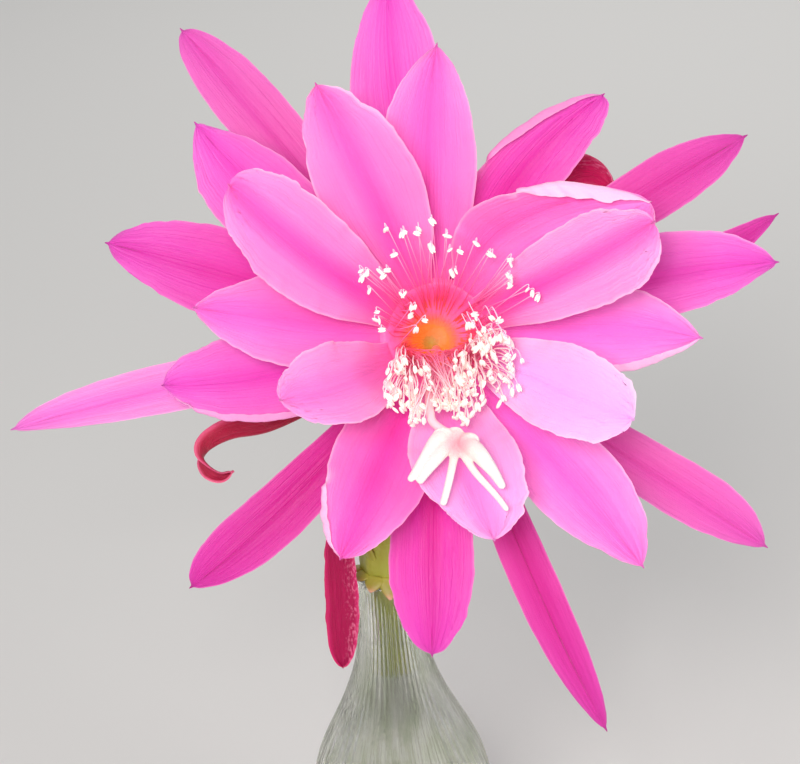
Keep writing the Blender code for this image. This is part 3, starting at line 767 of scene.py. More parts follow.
def smooth_points(points: Sequence[Point], steps: int) -> list[Vector]:
    """Return points on a smooth curve through the given points.

    Args:
        points: The points to pass through.
        steps: How many steps to make between each two.

    Returns:
        The points of the curve.
    """
    ends = [points[0], *points, points[-1]]
    result = []
    for index in range(len(points) - 1):
        before, start, end, after = (Vector(ends[index + shift]) for shift in range(4))
        for step in range(steps):
            t = step / steps
            curve = 2 * start + (end - before) * t
            curve += (2 * before - 5 * start + 4 * end - after) * t * t
            curve += (3 * start - before - 3 * end + after) * t * t * t
            result.append(curve / 2)
    result.append(Vector(points[-1]))
    return result


def polar(radius: float, azimuth: float, forward: float) -> Vector:
    """Return a point of the bloom from its radius, azimuth in degrees and depth."""
    angle = math.radians(azimuth)
    return Vector((radius * math.cos(angle), radius * math.sin(angle), forward))


def path_object(name: str, paths: Sequence[Sequence[Vector]],
                radii: Optional[Sequence[Sequence[float]]] = None) -> bpy.types.Object:
    """Return a helper curve that a Geometry Nodes tree reads.

    Args:
        name: Its name.
        paths: The points of each spline, in millimetres.
        radii: The radius at each point, or None for 1 everywhere.

    Returns:
        The curve object, which its user removes.
    """
    curve = bpy.data.curves.new(name, "CURVE")
    curve.dimensions = "3D"
    for index, points in enumerate(paths):
        spline = curve.splines.new("POLY")
        spline.points.add(len(points) - 1)
        for number, (point, place) in enumerate(zip(spline.points, points)):
            point.co = (*(Vector(place) * MM), 1.0)
            point.radius = radii[index][number] if radii else 1.0
    return add_object(name, curve)


def loft(name: str, rings: Sequence[Sequence[Vector]]) -> bpy.types.Mesh:
    """Return a closed, smooth mesh through rings of points in millimetres, with both ends capped.

    Args:
        name: The mesh's name.
        rings: Rings of equally many points.

    Returns:
        The mesh, in metres.
    """
    bm = bmesh.new()
    corners = [[bm.verts.new(Vector(point) * MM) for point in ring] for ring in rings]
    for low, high in zip(corners, corners[1:]):
        for index in range(len(low)):
            after = (index + 1) % len(low)
            bm.faces.new((low[index], low[after], high[after], high[index]))
    bm.faces.new(corners[0])
    bm.faces.new(corners[-1])
    bmesh.ops.recalc_face_normals(bm, faces=bm.faces)
    mesh = bpy.data.meshes.new(name)
    bm.to_mesh(mesh)
    bm.free()
    mesh.shade_smooth()
    mesh.set_sharp_from_angle(angle=math.radians(50.0))
    return mesh


def swept_rings(path: Sequence[Vector], radii: Sequence[float], sides: int,
                shape: Callable[[int, float], float] = lambda row, angle: 1.0) -> list[list[Vector]]:
    """Return rings round a path.

    Args:
        path: The centre points.
        radii: The radius at each.
        sides: How many points a ring has.
        shape: What the radius is multiplied by, from the row and the angle.

    Returns:
        The rings.
    """
    rings = []
    for row, (centre, radius) in enumerate(zip(path, radii)):
        ahead = (path[min(row + 1, len(path) - 1)] - path[max(row - 1, 0)]).normalized()
        side = (Vector((1.0, 0.0, 0.0)) - ahead * ahead.x).normalized()
        over = ahead.cross(side)
        ring = []
        for step in range(sides):
            angle = math.tau * step / sides
            size = radius * shape(row, angle)
            ring.append(centre + side * (size * math.cos(angle)) + over * (size * math.sin(angle)))
        rings.append(ring)
    return rings


def closed_outward(mesh: bpy.types.Mesh, merge: float = 0.000002) -> bpy.types.Mesh:
    """Merge a closed mesh's double points and turn its faces outwards.

    Args:
        mesh: The mesh.
        merge: How close double points lie, in metres.

    Returns:
        The same mesh.
    """
    bm = bmesh.new()
    bm.from_mesh(mesh)
    bmesh.ops.remove_doubles(bm, verts=bm.verts, dist=merge)
    bmesh.ops.dissolve_degenerate(bm, edges=bm.edges, dist=merge / 4)
    bmesh.ops.recalc_face_normals(bm, faces=bm.faces)
    bm.to_mesh(mesh)
    bm.free()
    return mesh


def place_piece(name: str, mesh: bpy.types.Mesh, slot: Slot, nodes: Sequence[str]) -> bpy.types.Object:
    """Put a finished piece in the scene, on the part's body.

    Args:
        name: The piece's name.
        mesh: Its mesh, in metres in the row frame.
        slot: The record's slot; not used.
        nodes: The nodes that it stands for.

    Returns:
        The piece.
    """
    piece = add_object(name, mesh)
    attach(piece, "root")
    if nodes:
        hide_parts(*nodes)
    log.info("%s: %d faces", name, len(mesh.polygons))
    return piece


# Petals and sepals


class Whorl(Enum):
    """The rings of petals and sepals; the name of a blade starts with its whorl."""

    INNER = "inner"
    MIDDLE = "middle"
    OUTER = "outer"
    SEPAL = "sepal"


@dataclass(frozen=True)
class WhorlLook:
    """What the blades of a whorl share: four colours are those of the sides, stripe, margin and heart. There
    is a deep set, and a flash-lit set that paints the same colours washed out by bright light.
    """

    slot: Slot
    deep: tuple[Colour, Colour, Colour, Colour]
    flash_lit: tuple[Colour, Colour, Colour, Colour]
    stripe_width: float
    heart_reach: float
    under_paleness: float
    end_tint: float
    ragged: float


# Each whorl's deep colours, then the same colours painted washed out by bright light
LOOKS = {
    Whorl.INNER: WhorlLook(
        Slot.INNER_PETAL,
        (screen(244, 110, 192), screen(243, 68, 176), screen(245, 138, 199), screen(251, 92, 172)),
        (screen(247, 180, 236), screen(247, 176, 243), screen(247, 188, 232), screen(251, 118, 192)),
        stripe_width=3.4, heart_reach=0.28, under_paleness=0.6, end_tint=0.0, ragged=1.1),
    Whorl.MIDDLE: WhorlLook(
        Slot.INNER_PETAL,
        (screen(241, 98, 187), screen(241, 68, 175), screen(244, 130, 196), screen(248, 90, 172)),
        (screen(246, 139, 222), screen(245, 126, 218), screen(246, 156, 217), screen(248, 112, 190)),
        stripe_width=3.4, heart_reach=0.20, under_paleness=0.5, end_tint=0.05, ragged=0.7),
    Whorl.OUTER: WhorlLook(
        Slot.OUTER_PETAL,
        (screen(217, 58, 165), screen(208, 36, 147), screen(224, 90, 172), screen(208, 38, 128)),
        (screen(240, 114, 208), screen(234, 78, 198), screen(242, 138, 208), screen(232, 72, 160)),
        stripe_width=2.6, heart_reach=0.18, under_paleness=0.28, end_tint=0.30, ragged=0.6),
    Whorl.SEPAL: WhorlLook(
        Slot.SEPAL,
        (screen(205, 37, 142), screen(198, 24, 132), screen(214, 64, 154), screen(188, 24, 104)),
        (screen(244, 136, 206), screen(240, 110, 200), screen(244, 148, 208), screen(226, 82, 162)),
        stripe_width=2.6, heart_reach=0.26, under_paleness=0.3, end_tint=0.22, ragged=0.3),
}


@dataclass(frozen=True)
class Blade:
    """A petal or sepal, by the same measures as its node.

    Its first colour share is painted light: it moves its colours from its whorl's deep ones towards the
    flash-lit ones, as brightly as the blade is lit.
    Its second is painted shade on the stripe, which holds its stripe back.
    """

    name: str
    azimuth: float
    reach: float
    height: float
    width: float
    seat: float
    rise: float
    droop: float
    sway: float
    base: float
    cup: float
    belly: float
    taper: float
    skew: float = 0.0
    painted_light: float = 0.0
    stripe_shade: float = 0.0

    @property
    def look(self) -> WhorlLook:
        """The look of the blade's whorl."""
        return LOOKS[Whorl(self.name.split("_")[0])]


@dataclass(frozen=True)
class Fold:
    """A rim that folds over towards the viewer."""

    side: int
    start: float
    width: float
    turn: float
    lateness: float = 0.9


# After the skew, a blade's numbers give its painted light and the painted shade on its stripe
BLADES = (
    Blade("inner_petal_upper_left", 147.0, 62.0, 44.0, 24.5, 2.0, 60, 26, -6.3, 10.0, 2.6,
          0.68, 0.38, 0.0, 0.15, 0.12),
    Blade("inner_petal_left", 206.0, 42.2, 39.0, 22.0, 2.0, 62, 34, -5.0, 10.0, 2.4, 0.62, 0.50, 0.0, 0.32),
    Blade("inner_petal_right", 331.5, 52.0, 40.0, 22.6, 2.0, 62, 28, 0.2, 10.0, 2.4, 0.68, 0.42, 0.0, 1.0),
    Blade("inner_petal_upper_right", 21.0, 58.5, 43.0, 22.5, 2.0, 60, 30, 2.2, 9.5, 2.4,
          0.74, 0.38, -0.35, 0.40, 0.34),
    Blade("inner_petal_top", 111.0, 68.0, 37.0, 26.5, 5.0, 48, 22, 1.8, 9.5, 2.2, 0.57, 0.66, 0.0, 0.1),
    Blade("inner_petal_bottom", 275.5, 53.0, 32.0, 27.5, 5.0, 50, 24, 5.0, 9.5, 2.4,
          0.60, 0.60, 0.42, 0.6, 0.18),
    Blade("inner_petal_top_right", 48.5, 57.5, 32.0, 30.0, 5.6, 46, 22, -22.0, 9.5, 2.0,
          0.48, 0.46, 0.0, -0.15, -0.6),
    Blade("middle_petal_left", 171.0, 61.5, 28.0, 24.0, 6.8, 46, 18, -0.8, 9.0, 2.2, 0.52, 0.70, 0.0, 0.4),
    Blade("middle_petal_top", 92.0, 72.0, 25.0, 26.2, 8.0, 38, 12, -7.2, 9.0, 2.0, 0.55, 0.76, 0.0, 0.3),
    Blade("middle_petal_lower_left", 242.5, 62.0, 22.0, 26.0, 8.0, 38, 10, 0.0, 9.0, 2.0, 0.54, 0.64),
    Blade("middle_petal_lower_right", 309.2, 78.2, 22.0, 22.6, 8.0, 36, 12, -2.8, 9.0, 2.0,
          0.62, 0.70, 0.42, 0.45),
    Blade("middle_petal_right", 0.2, 65.7, 25.0, 22.0, 8.0, 38, 14, -6.2, 8.5, 2.0, 0.62, 0.84, 0.30, 0.7),
    Blade("outer_petal_upper_left", 140.3, 82.0, 12.0, 23.6, 9.6, 32, 2, -7.8, 8.0, 1.8,
          0.68, 0.78, 0.40, 0.45),
    Blade("outer_petal_left_low", 191.0, 71.5, 12.0, 23.0, 9.6, 32, 2, -5.6, 8.0, 1.8, 0.60, 0.56, 0.0, 0.55),
    Blade("outer_petal_upper_right", 62.5, 73.5, 10.0, 20.2, 9.6, 32, 4, -14.6, 8.0, 1.8,
          0.58, 0.54, -0.25, 0.0),
    Blade("outer_petal_top", 97.2, 94.0, 8.0, 24.0, 11.2, 27, -4, -5.4, 7.5, 1.6, 0.66, 0.80, -0.12, 0.45),
    Blade("outer_petal_left", 160.2, 88.6, 7.6, 23.0, 11.4, 26, -3, 0.6, 7.5, 1.6, 0.64, 0.66, -0.18, 0.05),
    Blade("outer_petal_bottom", 264.0, 83.2, 5.0, 22.0, 11.2, 27, -4, 1.6, 7.5, 1.6, 0.71, 0.62, 0.0, -0.25),
    Blade("outer_petal_right", 12.2, 89.4, 8.0, 21.4, 11.2, 27, -3, -6.7, 7.5, 1.6, 0.66, 0.70, 0.36, 0.4),
    Blade("sepal_upper_left", 124.6, 106.2, -12.0, 17.0, 14.0, 16, -10, 2.2, 6.5, 1.4, 0.70, 0.50, 0.0, 0.36),
    Blade("sepal_left", 186.4, 115.6, -12.0, 13.2, 14.0, 16, -8, 4.2, 6.0, 1.4, 0.56, 0.57, -0.36, 1.05),
    Blade("sepal_lower_left", 226.5, 93.2, -11.0, 16.2, 15.8, 13, -8, -7.9, 5.6, 1.4,
          0.75, 0.62, -0.20, -0.05),
    Blade("sepal_lower_right", 323.6, 104.2, -11.0, 15.4, 15.8, 13, -8, -0.4, 5.6, 1.4,
          0.75, 0.64, 0.36, 0.35),
    Blade("sepal_bottom", 286.7, 114.7, -15.0, 12.2, 14.0, 16, -10, 5.4, 6.0, 1.4, 0.62, 0.58, 0.08, 0.0),
    Blade("sepal_right", 30.6, 97.9, -10.0, 15.6, 14.0, 16, -8, -3.0, 6.0, 1.4, 0.72, 0.70, 0.0, 0.1),
    Blade("sepal_right_back", 7.0, 97.0, -21.0, 11.0, 17.4, 6, -10, 15.0, 5.0, 1.2, 0.64, 0.66, 0.0, 0.0),
)

FOLDS = {
    "inner_petal_top_right": Fold(1, 0.62, 7.5, 165.0, 1.8),
    "middle_petal_right": Fold(-1, 0.55, 4.5, 120.0),
    "outer_petal_upper_right": Fold(1, 0.50, 3.8, 150.0, 1.5),
    "outer_petal_left_low": Fold(1, 0.42, 3.0, 140.0),
    "middle_petal_lower_left": Fold(-1, 0.64, 2.7, 140.0, 1.6),
}
UNFOLDED = Fold(1, 0.5, 0.0, 90.0)

# The feet of blades seated less deep than a limit: the limit, and their radius and depth at the throat's rim
FEET = ((3.0, 12.9, 0.85), (6.0, 13.5, 0.45), (9.0, 14.3, -0.9))


def blend(first: Colour, second: Colour, share: float) -> Colour:
    """Return a colour between two colours."""
    mixed = [a + (b - a) * share for a, b in zip(first, second)]
    return (mixed[0], mixed[1], mixed[2], 1.0)


def half_width(graph: Graph, t: Wire, width: Term, base: Term, belly: Term, taper: Term,
               point: float = 0.45) -> Wire:
    """Return half a blade's width: narrow base, wide belly, tapered tip and small point.

    Args:
        graph: The tree to add to.
        t: How far along the blade, from 0 to 1.
        width: Its width at its belly, in millimetres.
        base: Its width at its foot.
        belly: How far along it is widest.
        taper: How fast it narrows beyond that; a larger value makes a sharper end.
        point: Half the width of the small point on its end.

    Returns:
        Half the width in millimetres.
    """
    shoulder, point_slope, point_end = 0.988, 24.0, 0.12
    ratio = graph.maths("DIVIDE", base, width)
    half = width * 0.5
    grow = (((t / belly).at_most(1.0) * (math.pi / 2)).sine().at_least(0.0)) ** 1.3
    low = half * (ratio + (1.0 - ratio) * grow)
    end = ((t - belly) / (shoulder - belly)).share()
    body = half * ((1.0 - end * end).at_least(0.0) ** taper)
    high = body.at_least(((1.0 - t) * point_slope + point_end).at_most(point))
    return high + (low - high) * t.below(belly)


def thick_blade(tree: Growth, middle: Wire) -> Wire:
    """Give a blade its thickness, which runs out to nothing at its rim.

    Args:
        tree: The tree to add to.
        middle: The blade's middle surface, with its rim coordinates stored.

    Returns:
        The closed blade.
    """
    edge, _, along = tree.split(tree.stored("rim"))
    full = (1.0 - abs(edge) ** 7.0) * (along * 30.0).share() * ((1.0 - along) * 40.0).share()
    half = full * tree.input("Thickness") * (MM / 2)
    normal = tree.wire("GeometryNodeInputNormal")
    front = tree.shift(middle, normal * half)
    back = tree.wire("GeometryNodeFlipFaces", None, {0: tree.shift(middle, normal * (half * -1.0))})
    return tree.wire("GeometryNodeMergeByDistance", None,
                     {"Geometry": tree.join(front, back), "Distance": RIM_MERGE})


def split_corners(mesh: bpy.types.Mesh) -> bpy.types.Mesh:
    """Cut a blade's corner faces through the corner, so that no two triangles lie on each other.

    Args:
        mesh: The blade's closed mesh.

    Returns:
        The same mesh.
    """
    bm = bmesh.new()
    bm.from_mesh(mesh)
    bm.verts.ensure_lookup_table()
    for corner in [vert for vert in bm.verts if len(vert.link_faces) == 2]:
        beside = {edge.other_vert(corner) for edge in corner.link_edges}
        for face in list(corner.link_faces):
            across = [vert for vert in face.verts if vert is not corner and vert not in beside]
            if across:
                bmesh.utils.face_split(face, corner, across[0])
    bm.to_mesh(mesh)
    bm.free()
    return mesh


def blade_grid(tree: Growth) -> tuple[Wire, Wire, Wire]:
    """Start a blade from a flat grid whose rows lie closer together towards its tip.

    Args:
        tree: The tree to add to.

    Returns:
        The grid, how far along it a point lies from 0 to 1, and how far across from -1 to 1.
    """
    grid, x, y = tree.grid("Rows", "Columns")
    along = 1.0 - (0.5 - x).at_least(0.0) ** 1.5
    return grid, along, y * 2.0


class PetalSurface(Growth):
    """The tree that grows a petal or sepal in its own upright frame, in millimetres until its last step.

    Heights are in millimetres, counts are along or across the whole blade.
    """

    MEASURES = ("Width", "Base Width", "Belly", "Taper", "Cup", "Sway", "Seat Radius", "Phase", "Fold Side",
                "Fold Start", "Fold Width", "Fold Turn", "Fold Lateness", "Skew", "Thickness", "Crumple",
                "Ragged", "Seed")
    PLACES = ("Foot", "Start", "First", "Second", "End")
    RAGGED_BITES = 16.0
    RUFFLES = 8.0
    RUFFLE_HEIGHT = 16.0
    FLAT_PART = 2.0 / 3.0
    FOLD_JAGS = 30.0
    FOLD_ROUNDNESS = 0.3
    HUG = 0.85
    CHANNEL_FORMED = 0.35
    WAVES = 2.3
    WAVE_HEIGHT = 0.5
    GROOVE_DEPTH = 0.6
    CRUMPLES = 4.0
    FRILLS = 13.0
    FRILL_HEIGHT = 1.6
    RIBS = 21.0
    RIB_HEIGHT = 0.05

    def __init__(self) -> None:
        """Grow the grid into a blade: its outline, folded rim, centre line and relief."""
        super().__init__("petal_surface", {
            "Rows": int, "Columns": int, **dict.fromkeys(self.MEASURES, float),
            **dict.fromkeys(self.PLACES, tuple), "Finish": bpy.types.Material,
        })
        grid, self.t, self.edge = blade_grid(self)
        t, edge, get = self.t, self.edge, self.input
        half = half_width(self, t, get("Width"), get("Base Width"), get("Belly"), get("Taper"))
        ragged = self.noise(self.vector(t * self.RAGGED_BITES, edge * 0.6, get("Seed")), 1.0, 3.0)
        self.half = half * (1.0 + (ragged - 0.5) * ((t * 2.0).share() * 0.06 + t ** 7.0 * get("Ragged")))
        spot, reach, shift, lift = self.folded_rim()
        centre, ahead, normal = self.centre_line()
        ruffle = self.uneven(self.vector(spot * self.RUFFLES, get("Seed"), 3.0))
        ruffle = ruffle * get("Ragged") * self.RUFFLE_HEIGHT
        ruffle = ruffle * (t ** 5.0) * (self.half * 2.0 / get("Width")).at_most(1.0)
        height = self.relief(spot) + lift
        fuller = 1.0 + get("Skew") * (t ** 5.0) * spot
        across = spot * self.half * fuller + get("Sway") * (t ** 3.0) + shift
        position = centre + self.unit(ahead) * ruffle + self.vector(0.0, across, 0.0) + normal * height
        marked = self.store(grid, "blade", self.vector(t, spot, self.half))
        folded = (reach / 0.8).at_most(1.0)
        marked = self.store(marked, "rim", self.vector(edge, folded, t))
        self.finish(thick_blade(self, self.place(marked, position * MM)), True)

    def uneven(self, place: Wire) -> Wire:
        """Return noise from about -0.5 to 0.5 at a place."""
        return self.noise(place, 1.0, 2.0) - 0.5

    def folded_rim(self) -> tuple[Wire, Wire, Wire, Wire]:
        """Fold a stretch of one rim over, in an arc and a straight rest.

        Returns:
            Where a point lies across the unfolded part, how far into the fold, how far the fold
            shifts it across and how far it lifts it.
        """
        t, edge, get = self.t, self.edge, self.input
        part = ((t - get("Fold Start")) / (1.0 - get("Fold Start"))).share()
        rim = get("Fold Width") * (part ** get("Fold Lateness") * math.pi).sine().at_least(0.0)
        jagged = self.noise(self.vector(t * self.FOLD_JAGS, get("Seed"), 0.0), 1.0, 2.0)
        rim = rim * (0.62 + jagged * 0.76)
        side = get("Fold Side")
        outer = edge * side
        line = self.FLAT_PART
        target = ((outer + 1.0) * (2.0 / (1.0 + line)) - 1.0).at_most(1.0)
        spot = (outer + (target - outer) * (rim / 1.5).at_most(1.0)) * side
        reach = rim * ((outer - line) / (1.0 - line)).at_least(0.0)
        arc = (rim * self.FOLD_ROUNDNESS).at_least(0.001)
        full = get("Fold Turn") * (math.pi / 180.0)
        turn = full * (reach / arc).at_most(1.0)
        rest = (reach - arc).at_least(0.0)
        shift = (arc / full * turn.sine() + rest * full.cosine()) * side
        lift = arc / full * (1.0 - turn.cosine()) + rest * full.sine()
        return spot, reach, shift, lift

    def centre_line(self) -> tuple[Wire, Wire, Wire]:
        """Follow the blade's centre line, a cubic curve whose foot is brought forward.

        Returns:
            The place on it, the direction of its run and the direction in which the blade faces.
        """
        t, get = self.t, self.input
        back = 1.0 - t
        centre = get("Start") * (back ** 3.0) + get("First") * (back * back * t * 3.0)
        centre = centre + get("Second") * (back * t * t * 3.0) + get("End") * (t ** 3.0)
        centre = centre + get("Foot") * (back ** 6.0)
        ahead = (get("First") - get("Start")) * (back * back)
        ahead = ahead + (get("Second") - get("First")) * (back * t * 2.0)
        ahead = ahead + (get("End") - get("Second")) * (t * t)
        out, _, forward = self.split(ahead)
        return centre, ahead, self.unit(self.vector(forward * -1.0, 0.0, out))

    def relief(self, spot: Wire) -> Wire:
        """Shape the channel across the blade, its waves, groove, ribs and frill.

        Args:
            spot: Where a point lies across the unfolded blade, from -1 to 1.

        Returns:
            The height over the centre line in millimetres.
        """
        t, edge, half, get = self.t, self.edge, self.half, self.input
        hug = half * half * self.HUG / (get("Seat Radius") * 2.0)
        share = (t / self.CHANNEL_FORMED).at_most(1.0)
        channel = hug + (get("Cup") * ((half * 2.0 / get("Width")) ** 2.0) - hug) * share
        wave = (t * (self.WAVES * math.tau) + get("Phase")).sine() * (abs(spot) ** 3.0)
        groove = (1.0 - abs(spot)).at_least(0.0) ** 6.0
        crumple = self.uneven(self.vector(t * self.CRUMPLES, spot * 1.3, get("Seed") + 9.0))
        frill = self.uneven(self.vector(t * self.FRILLS, edge * 0.5, get("Seed") + 5.0)) * (abs(spot) ** 5.0)
        ribs = (spot * self.RIBS).cosine() * (1.0 - spot * spot)
        detail = wave * self.WAVE_HEIGHT - groove * self.GROOVE_DEPTH + crumple * get("Crumple")
        detail = detail + frill * self.FRILL_HEIGHT + ribs * -self.RIB_HEIGHT
        return channel * spot * spot + detail * share * (half / 3.0).at_most(1.0)


@dataclass
class Petals:
    """All petals and sepals round the throat."""

    blades: tuple[Blade, ...] = BLADES
    rows: int = 84
    columns: int = 41
    thickness: float = 0.62
    seat_gap: float = 0.42
    rise_gap: float = 0.35
    crumple: float = 1.2
    first_handle: float = 0.30
    second_handle: float = 0.36
    skin_seed: float = 3.7
    shape_seed: float = 2.31
    underside: Colour = screen(254, 232, 246)

    def finish(self, blade: Blade, number: int) -> PetalFinish:
        """Return a blade's finish, between its whorl's deep and flash-lit colours, as far as its painted
        light goes.

        Args:
            blade: The blade.
            number: Its place in the list, which seeds its veins.

        Returns:
            The finish.
        """
        look = blade.look
        # Painted light and shade: the blade's colours lean to the flash-lit set as brightly as it is lit
        sides, _, margin, heart = (blend(a, b, blade.painted_light) for a, b in zip(look.deep, look.flash_lit))
        stripe = blend(look.deep[1], look.flash_lit[1], blade.painted_light - blade.stripe_shade)
        # The underside's colour, which also paints the highlight along the rim
        under_and_rim_highlight = blend(margin, self.underside, look.under_paleness)
        return PetalFinish(f"{blade.name}_skin", sides, stripe, margin, heart, under_and_rim_highlight, look.stripe_width,
                           look.heart_reach, look.end_tint, seed=number * self.skin_seed)

    @staticmethod
    def base_shift(blade: Blade, seat: float) -> Point:
        """Return how far a blade's foot comes forward, so that it meets the throat's rim.

        Args:
            blade: The blade.
            seat: The radius at which it starts.

        Returns:
            The shift in the blade's own frame.
        """
        for limit, radius, depth in FEET:
            if blade.seat < limit:
                return (radius - seat, 0.0, depth + blade.seat)
        return (0.0, 0.0, 0.0)

    def measures(self, blade: Blade, number: int) -> dict[str, object]:
        """Return the tree's inputs for one blade.

        Args:
            blade: The blade.
            number: Its place in the list, which seeds its waves.

        Returns:
            The value of each named input.
        """
        rise, fall = math.radians(blade.rise), math.radians(blade.droop)
        seat = funnel_radius(-blade.seat) + self.seat_gap + self.rise_gap * math.sin(rise)
        start, end = Vector((seat, 0.0, -blade.seat)), Vector((blade.reach, 0.0, blade.height))
        length = (end - start).length
        first = start + Vector((math.cos(rise), 0.0, math.sin(rise))) * length * self.first_handle
        second = end - Vector((math.cos(fall), 0.0, math.sin(fall))) * length * self.second_handle
        fold = FOLDS.get(blade.name, UNFOLDED)
        return {
            "Rows": self.rows, "Columns": self.columns, "Width": blade.width, "Base Width": blade.base,
            "Belly": blade.belly, "Taper": blade.taper, "Cup": blade.cup, "Sway": blade.sway,
            "Seat Radius": seat, "Phase": blade.azimuth, "Fold Side": float(fold.side),
            "Fold Start": fold.start, "Fold Width": fold.width, "Fold Turn": fold.turn,
            "Fold Lateness": fold.lateness, "Skew": blade.skew, "Thickness": self.thickness,
            "Crumple": self.crumple, "Ragged": blade.look.ragged, "Seed": number * self.shape_seed,
            "Foot": self.base_shift(blade, seat), "Start": tuple(start), "First": tuple(first),
            "Second": tuple(second), "End": tuple(end), "Finish": self.finish(blade, number).material(),
        }

    def build(self) -> None:
        """Grow and place every blade."""
        tree = PetalSurface()
        for number, blade in enumerate(self.blades):
            mesh = split_corners(tree.grow(self.measures(blade, number)))
            mesh.transform(bloom_matrix() @ Matrix.Rotation(math.radians(blade.azimuth), 4, "Z"))
            place_piece(f"{blade.name}_skin", mesh, blade.look.slot, [blade.name])


# Crimson scales


@dataclass(frozen=True)
class Strap:
    """A scale that hangs or curls along a path of points in the bloom's frame."""

    name: str
    points: tuple[Point, ...]
    width_axis: Point
    width: float
    base: float
    belly: float
    finish: ScaleFinish


# The last number of a scale's finish is how strong the painted highlight of its flecks is
STRAPS = (
    Strap("hanging_sepal",
          ((-20.4, -41.5, -39.4), (-27.0, -46.4, -35.6), (-30.2, -55.0, -36.0),
           (-30.8, -71.0, -43.8), (-32.2, -91.2, -53.0)),
          (1.0, 0.0, 0.0), 9.4, 6.0, 0.70,
          ScaleFinish("hanging_sepal_skin", screen(166, 2, 72), screen(226, 44, 116), 0.8)),
    Strap("curled_scale_left",
          ((-6.89, -2.76, -17.6), (-26.0, -12.0, -21.5), (-45.0, -19.6, -19.5), (-56.0, -21.2, -17.0),
           (-62.2, -23.8, -16.0), (-64.4, -27.5, -16.0), (-63.3, -31.4, -16.5), (-60.0, -33.3, -17.0),
           (-56.6, -32.0, -18.0)),
          (0.0, 0.80, 0.60), 7.6, 4.4, 0.60,
          ScaleFinish("curled_scale_left_skin", screen(184, 18, 64), screen(240, 110, 150), 0.0)),
    Strap("curled_scale_right",
          ((5.43, 5.60, -17.6), (20.0, 21.0, -19.5), (33.4, 36.0, -17.5), (39.4, 40.8, -14.5),
           (45.2, 40.2, -11.5), (49.6, 35.6, -8.5)),
          (0.0, 1.0, 0.12), 9.6, 5.0, 0.74,
          ScaleFinish("curled_scale_right_skin", screen(204, 26, 92), screen(238, 112, 148), 0.9)),
)


def strap_tree() -> Growth:
    """Make the tree that grows a scale along a path.

    Returns:
        The tree.
    """
    tree = Growth("scale_surface", {
        "Path": bpy.types.Object, "Rows": int, "Columns": int, "Width": float, "Base Width": float,
        "Belly": float, "Thickness": float, "Across": tuple, "Seed": float, "Finish": bpy.types.Material,
    })
    get = tree.input
    grid, t, edge = blade_grid(tree)
    half = half_width(tree, t, get("Width"), get("Base Width"), get("Belly"), taper=0.5, point=0.12)
    ragged = tree.noise(tree.vector(t * 12.0, edge * 0.6, get("Seed")), 1.0, 2.0)
    half = half * (1.0 + (ragged - 0.5) * 0.24)
    sample = tree.node("GeometryNodeSampleCurve", {"mode": "FACTOR"},
                       {"Curves": tree.helper("Path"), "Factor": t})
    centre, ahead = Wire(tree, sample.outputs["Position"]), Wire(tree, sample.outputs["Tangent"])
    across = tree.unit(get("Across") - ahead * tree.dot(get("Across"), ahead))
    normal = tree.unit(tree.cross(across, ahead))
    curl = edge * edge * half * 0.12 + (ragged - 0.5) * 0.7
    rim = abs(edge) ** 8.0 * 0.7
    position = centre + across * (edge * half * MM) - normal * ((curl + rim) * MM)
    marked = tree.store(grid, "blade", tree.vector(t, edge, half))
    marked = tree.store(marked, "rim", tree.vector(edge, 0.0, t))
    tree.finish(thick_blade(tree, tree.place(marked, position)), True)
    return tree


@dataclass
class Scales:
    """The crimson scales behind the bloom and beside the neck of the vase."""

    straps: tuple[Strap, ...] = STRAPS
    rows: int = 90
    columns: int = 25
    thickness: float = 0.75

    def build(self) -> None:
        """Grow and place every scale."""
        tree = strap_tree()
        for number, strap in enumerate(self.straps):
            helper = path_object("scale_path", [smooth_points(strap.points, 10)])
            mesh = split_corners(tree.grow({
                "Path": helper, "Rows": self.rows, "Columns": self.columns, "Width": strap.width,
                "Base Width": strap.base, "Belly": strap.belly, "Thickness": self.thickness,
                "Across": strap.width_axis, "Seed": number * 5.3, "Finish": strap.finish.material(),
            }))
            bpy.data.objects.remove(helper, do_unlink=True)
            mesh.transform(bloom_matrix())
            place_piece(f"{strap.name}_skin", mesh, Slot.SCALE, [strap.name])


# Stamens, style and stigma


@dataclass(frozen=True)
class StamenGroup:
    """Stamens that share a stretch of the throat's wall and a patch where their tips gather."""

    count: int
    azimuths: tuple[float, float]
    middle: tuple[float, float]
    spread: tuple[float, float]
    lift: tuple[float, float]
    hook: float = 1.6
    roots: tuple[float, float] = (-12.0, -5.0)
    crest: Optional[tuple[Point, Point]] = None


# Where the anthers of the spreading and of the hooked stamens lie, across and up
FAN_TIPS = (
    (-18.3, 17.0), (-17.4, 16.0), (-16.6, 11.9), (-15.0, 6.5), (-14.1, 1.9), (-13.5, 16.5),
    (-11.7, 16.8), (-11.3, 26.9), (-9.7, 20.5), (-7.4, 25.4), (-7.9, 10.5), (-3.6, 25.4),
    (-5.4, 7.1), (-3.1, 3.6), (-5.5, 1.3), (0.4, 28.1), (-0.1, 21.1), (3.7, 24.6),
    (4.4, 20.8), (6.9, 20.1), (5.6, 15.4), (11.1, 21.8), (14.9, 18.8), (19.3, 17.2),
    (18.8, 13.2), (18.8, 10.4), (23.1, 9.4), (24.2, 8.3), (-6.6, 5.0), (-14.6, 4.2),
)
HOOKED_TIPS = (
    (9.6, 4.2), (15.7, 2.0), (18.6, -7.2), (20.6, -8.4), (19.3, -15.1), (13.8, 2.9),
    (17.4, -3.6), (11.6, 0.1), (9.0, 1.8), (16.2, -1.4), (18.0, -10.4), (14.6, -2.2),
)
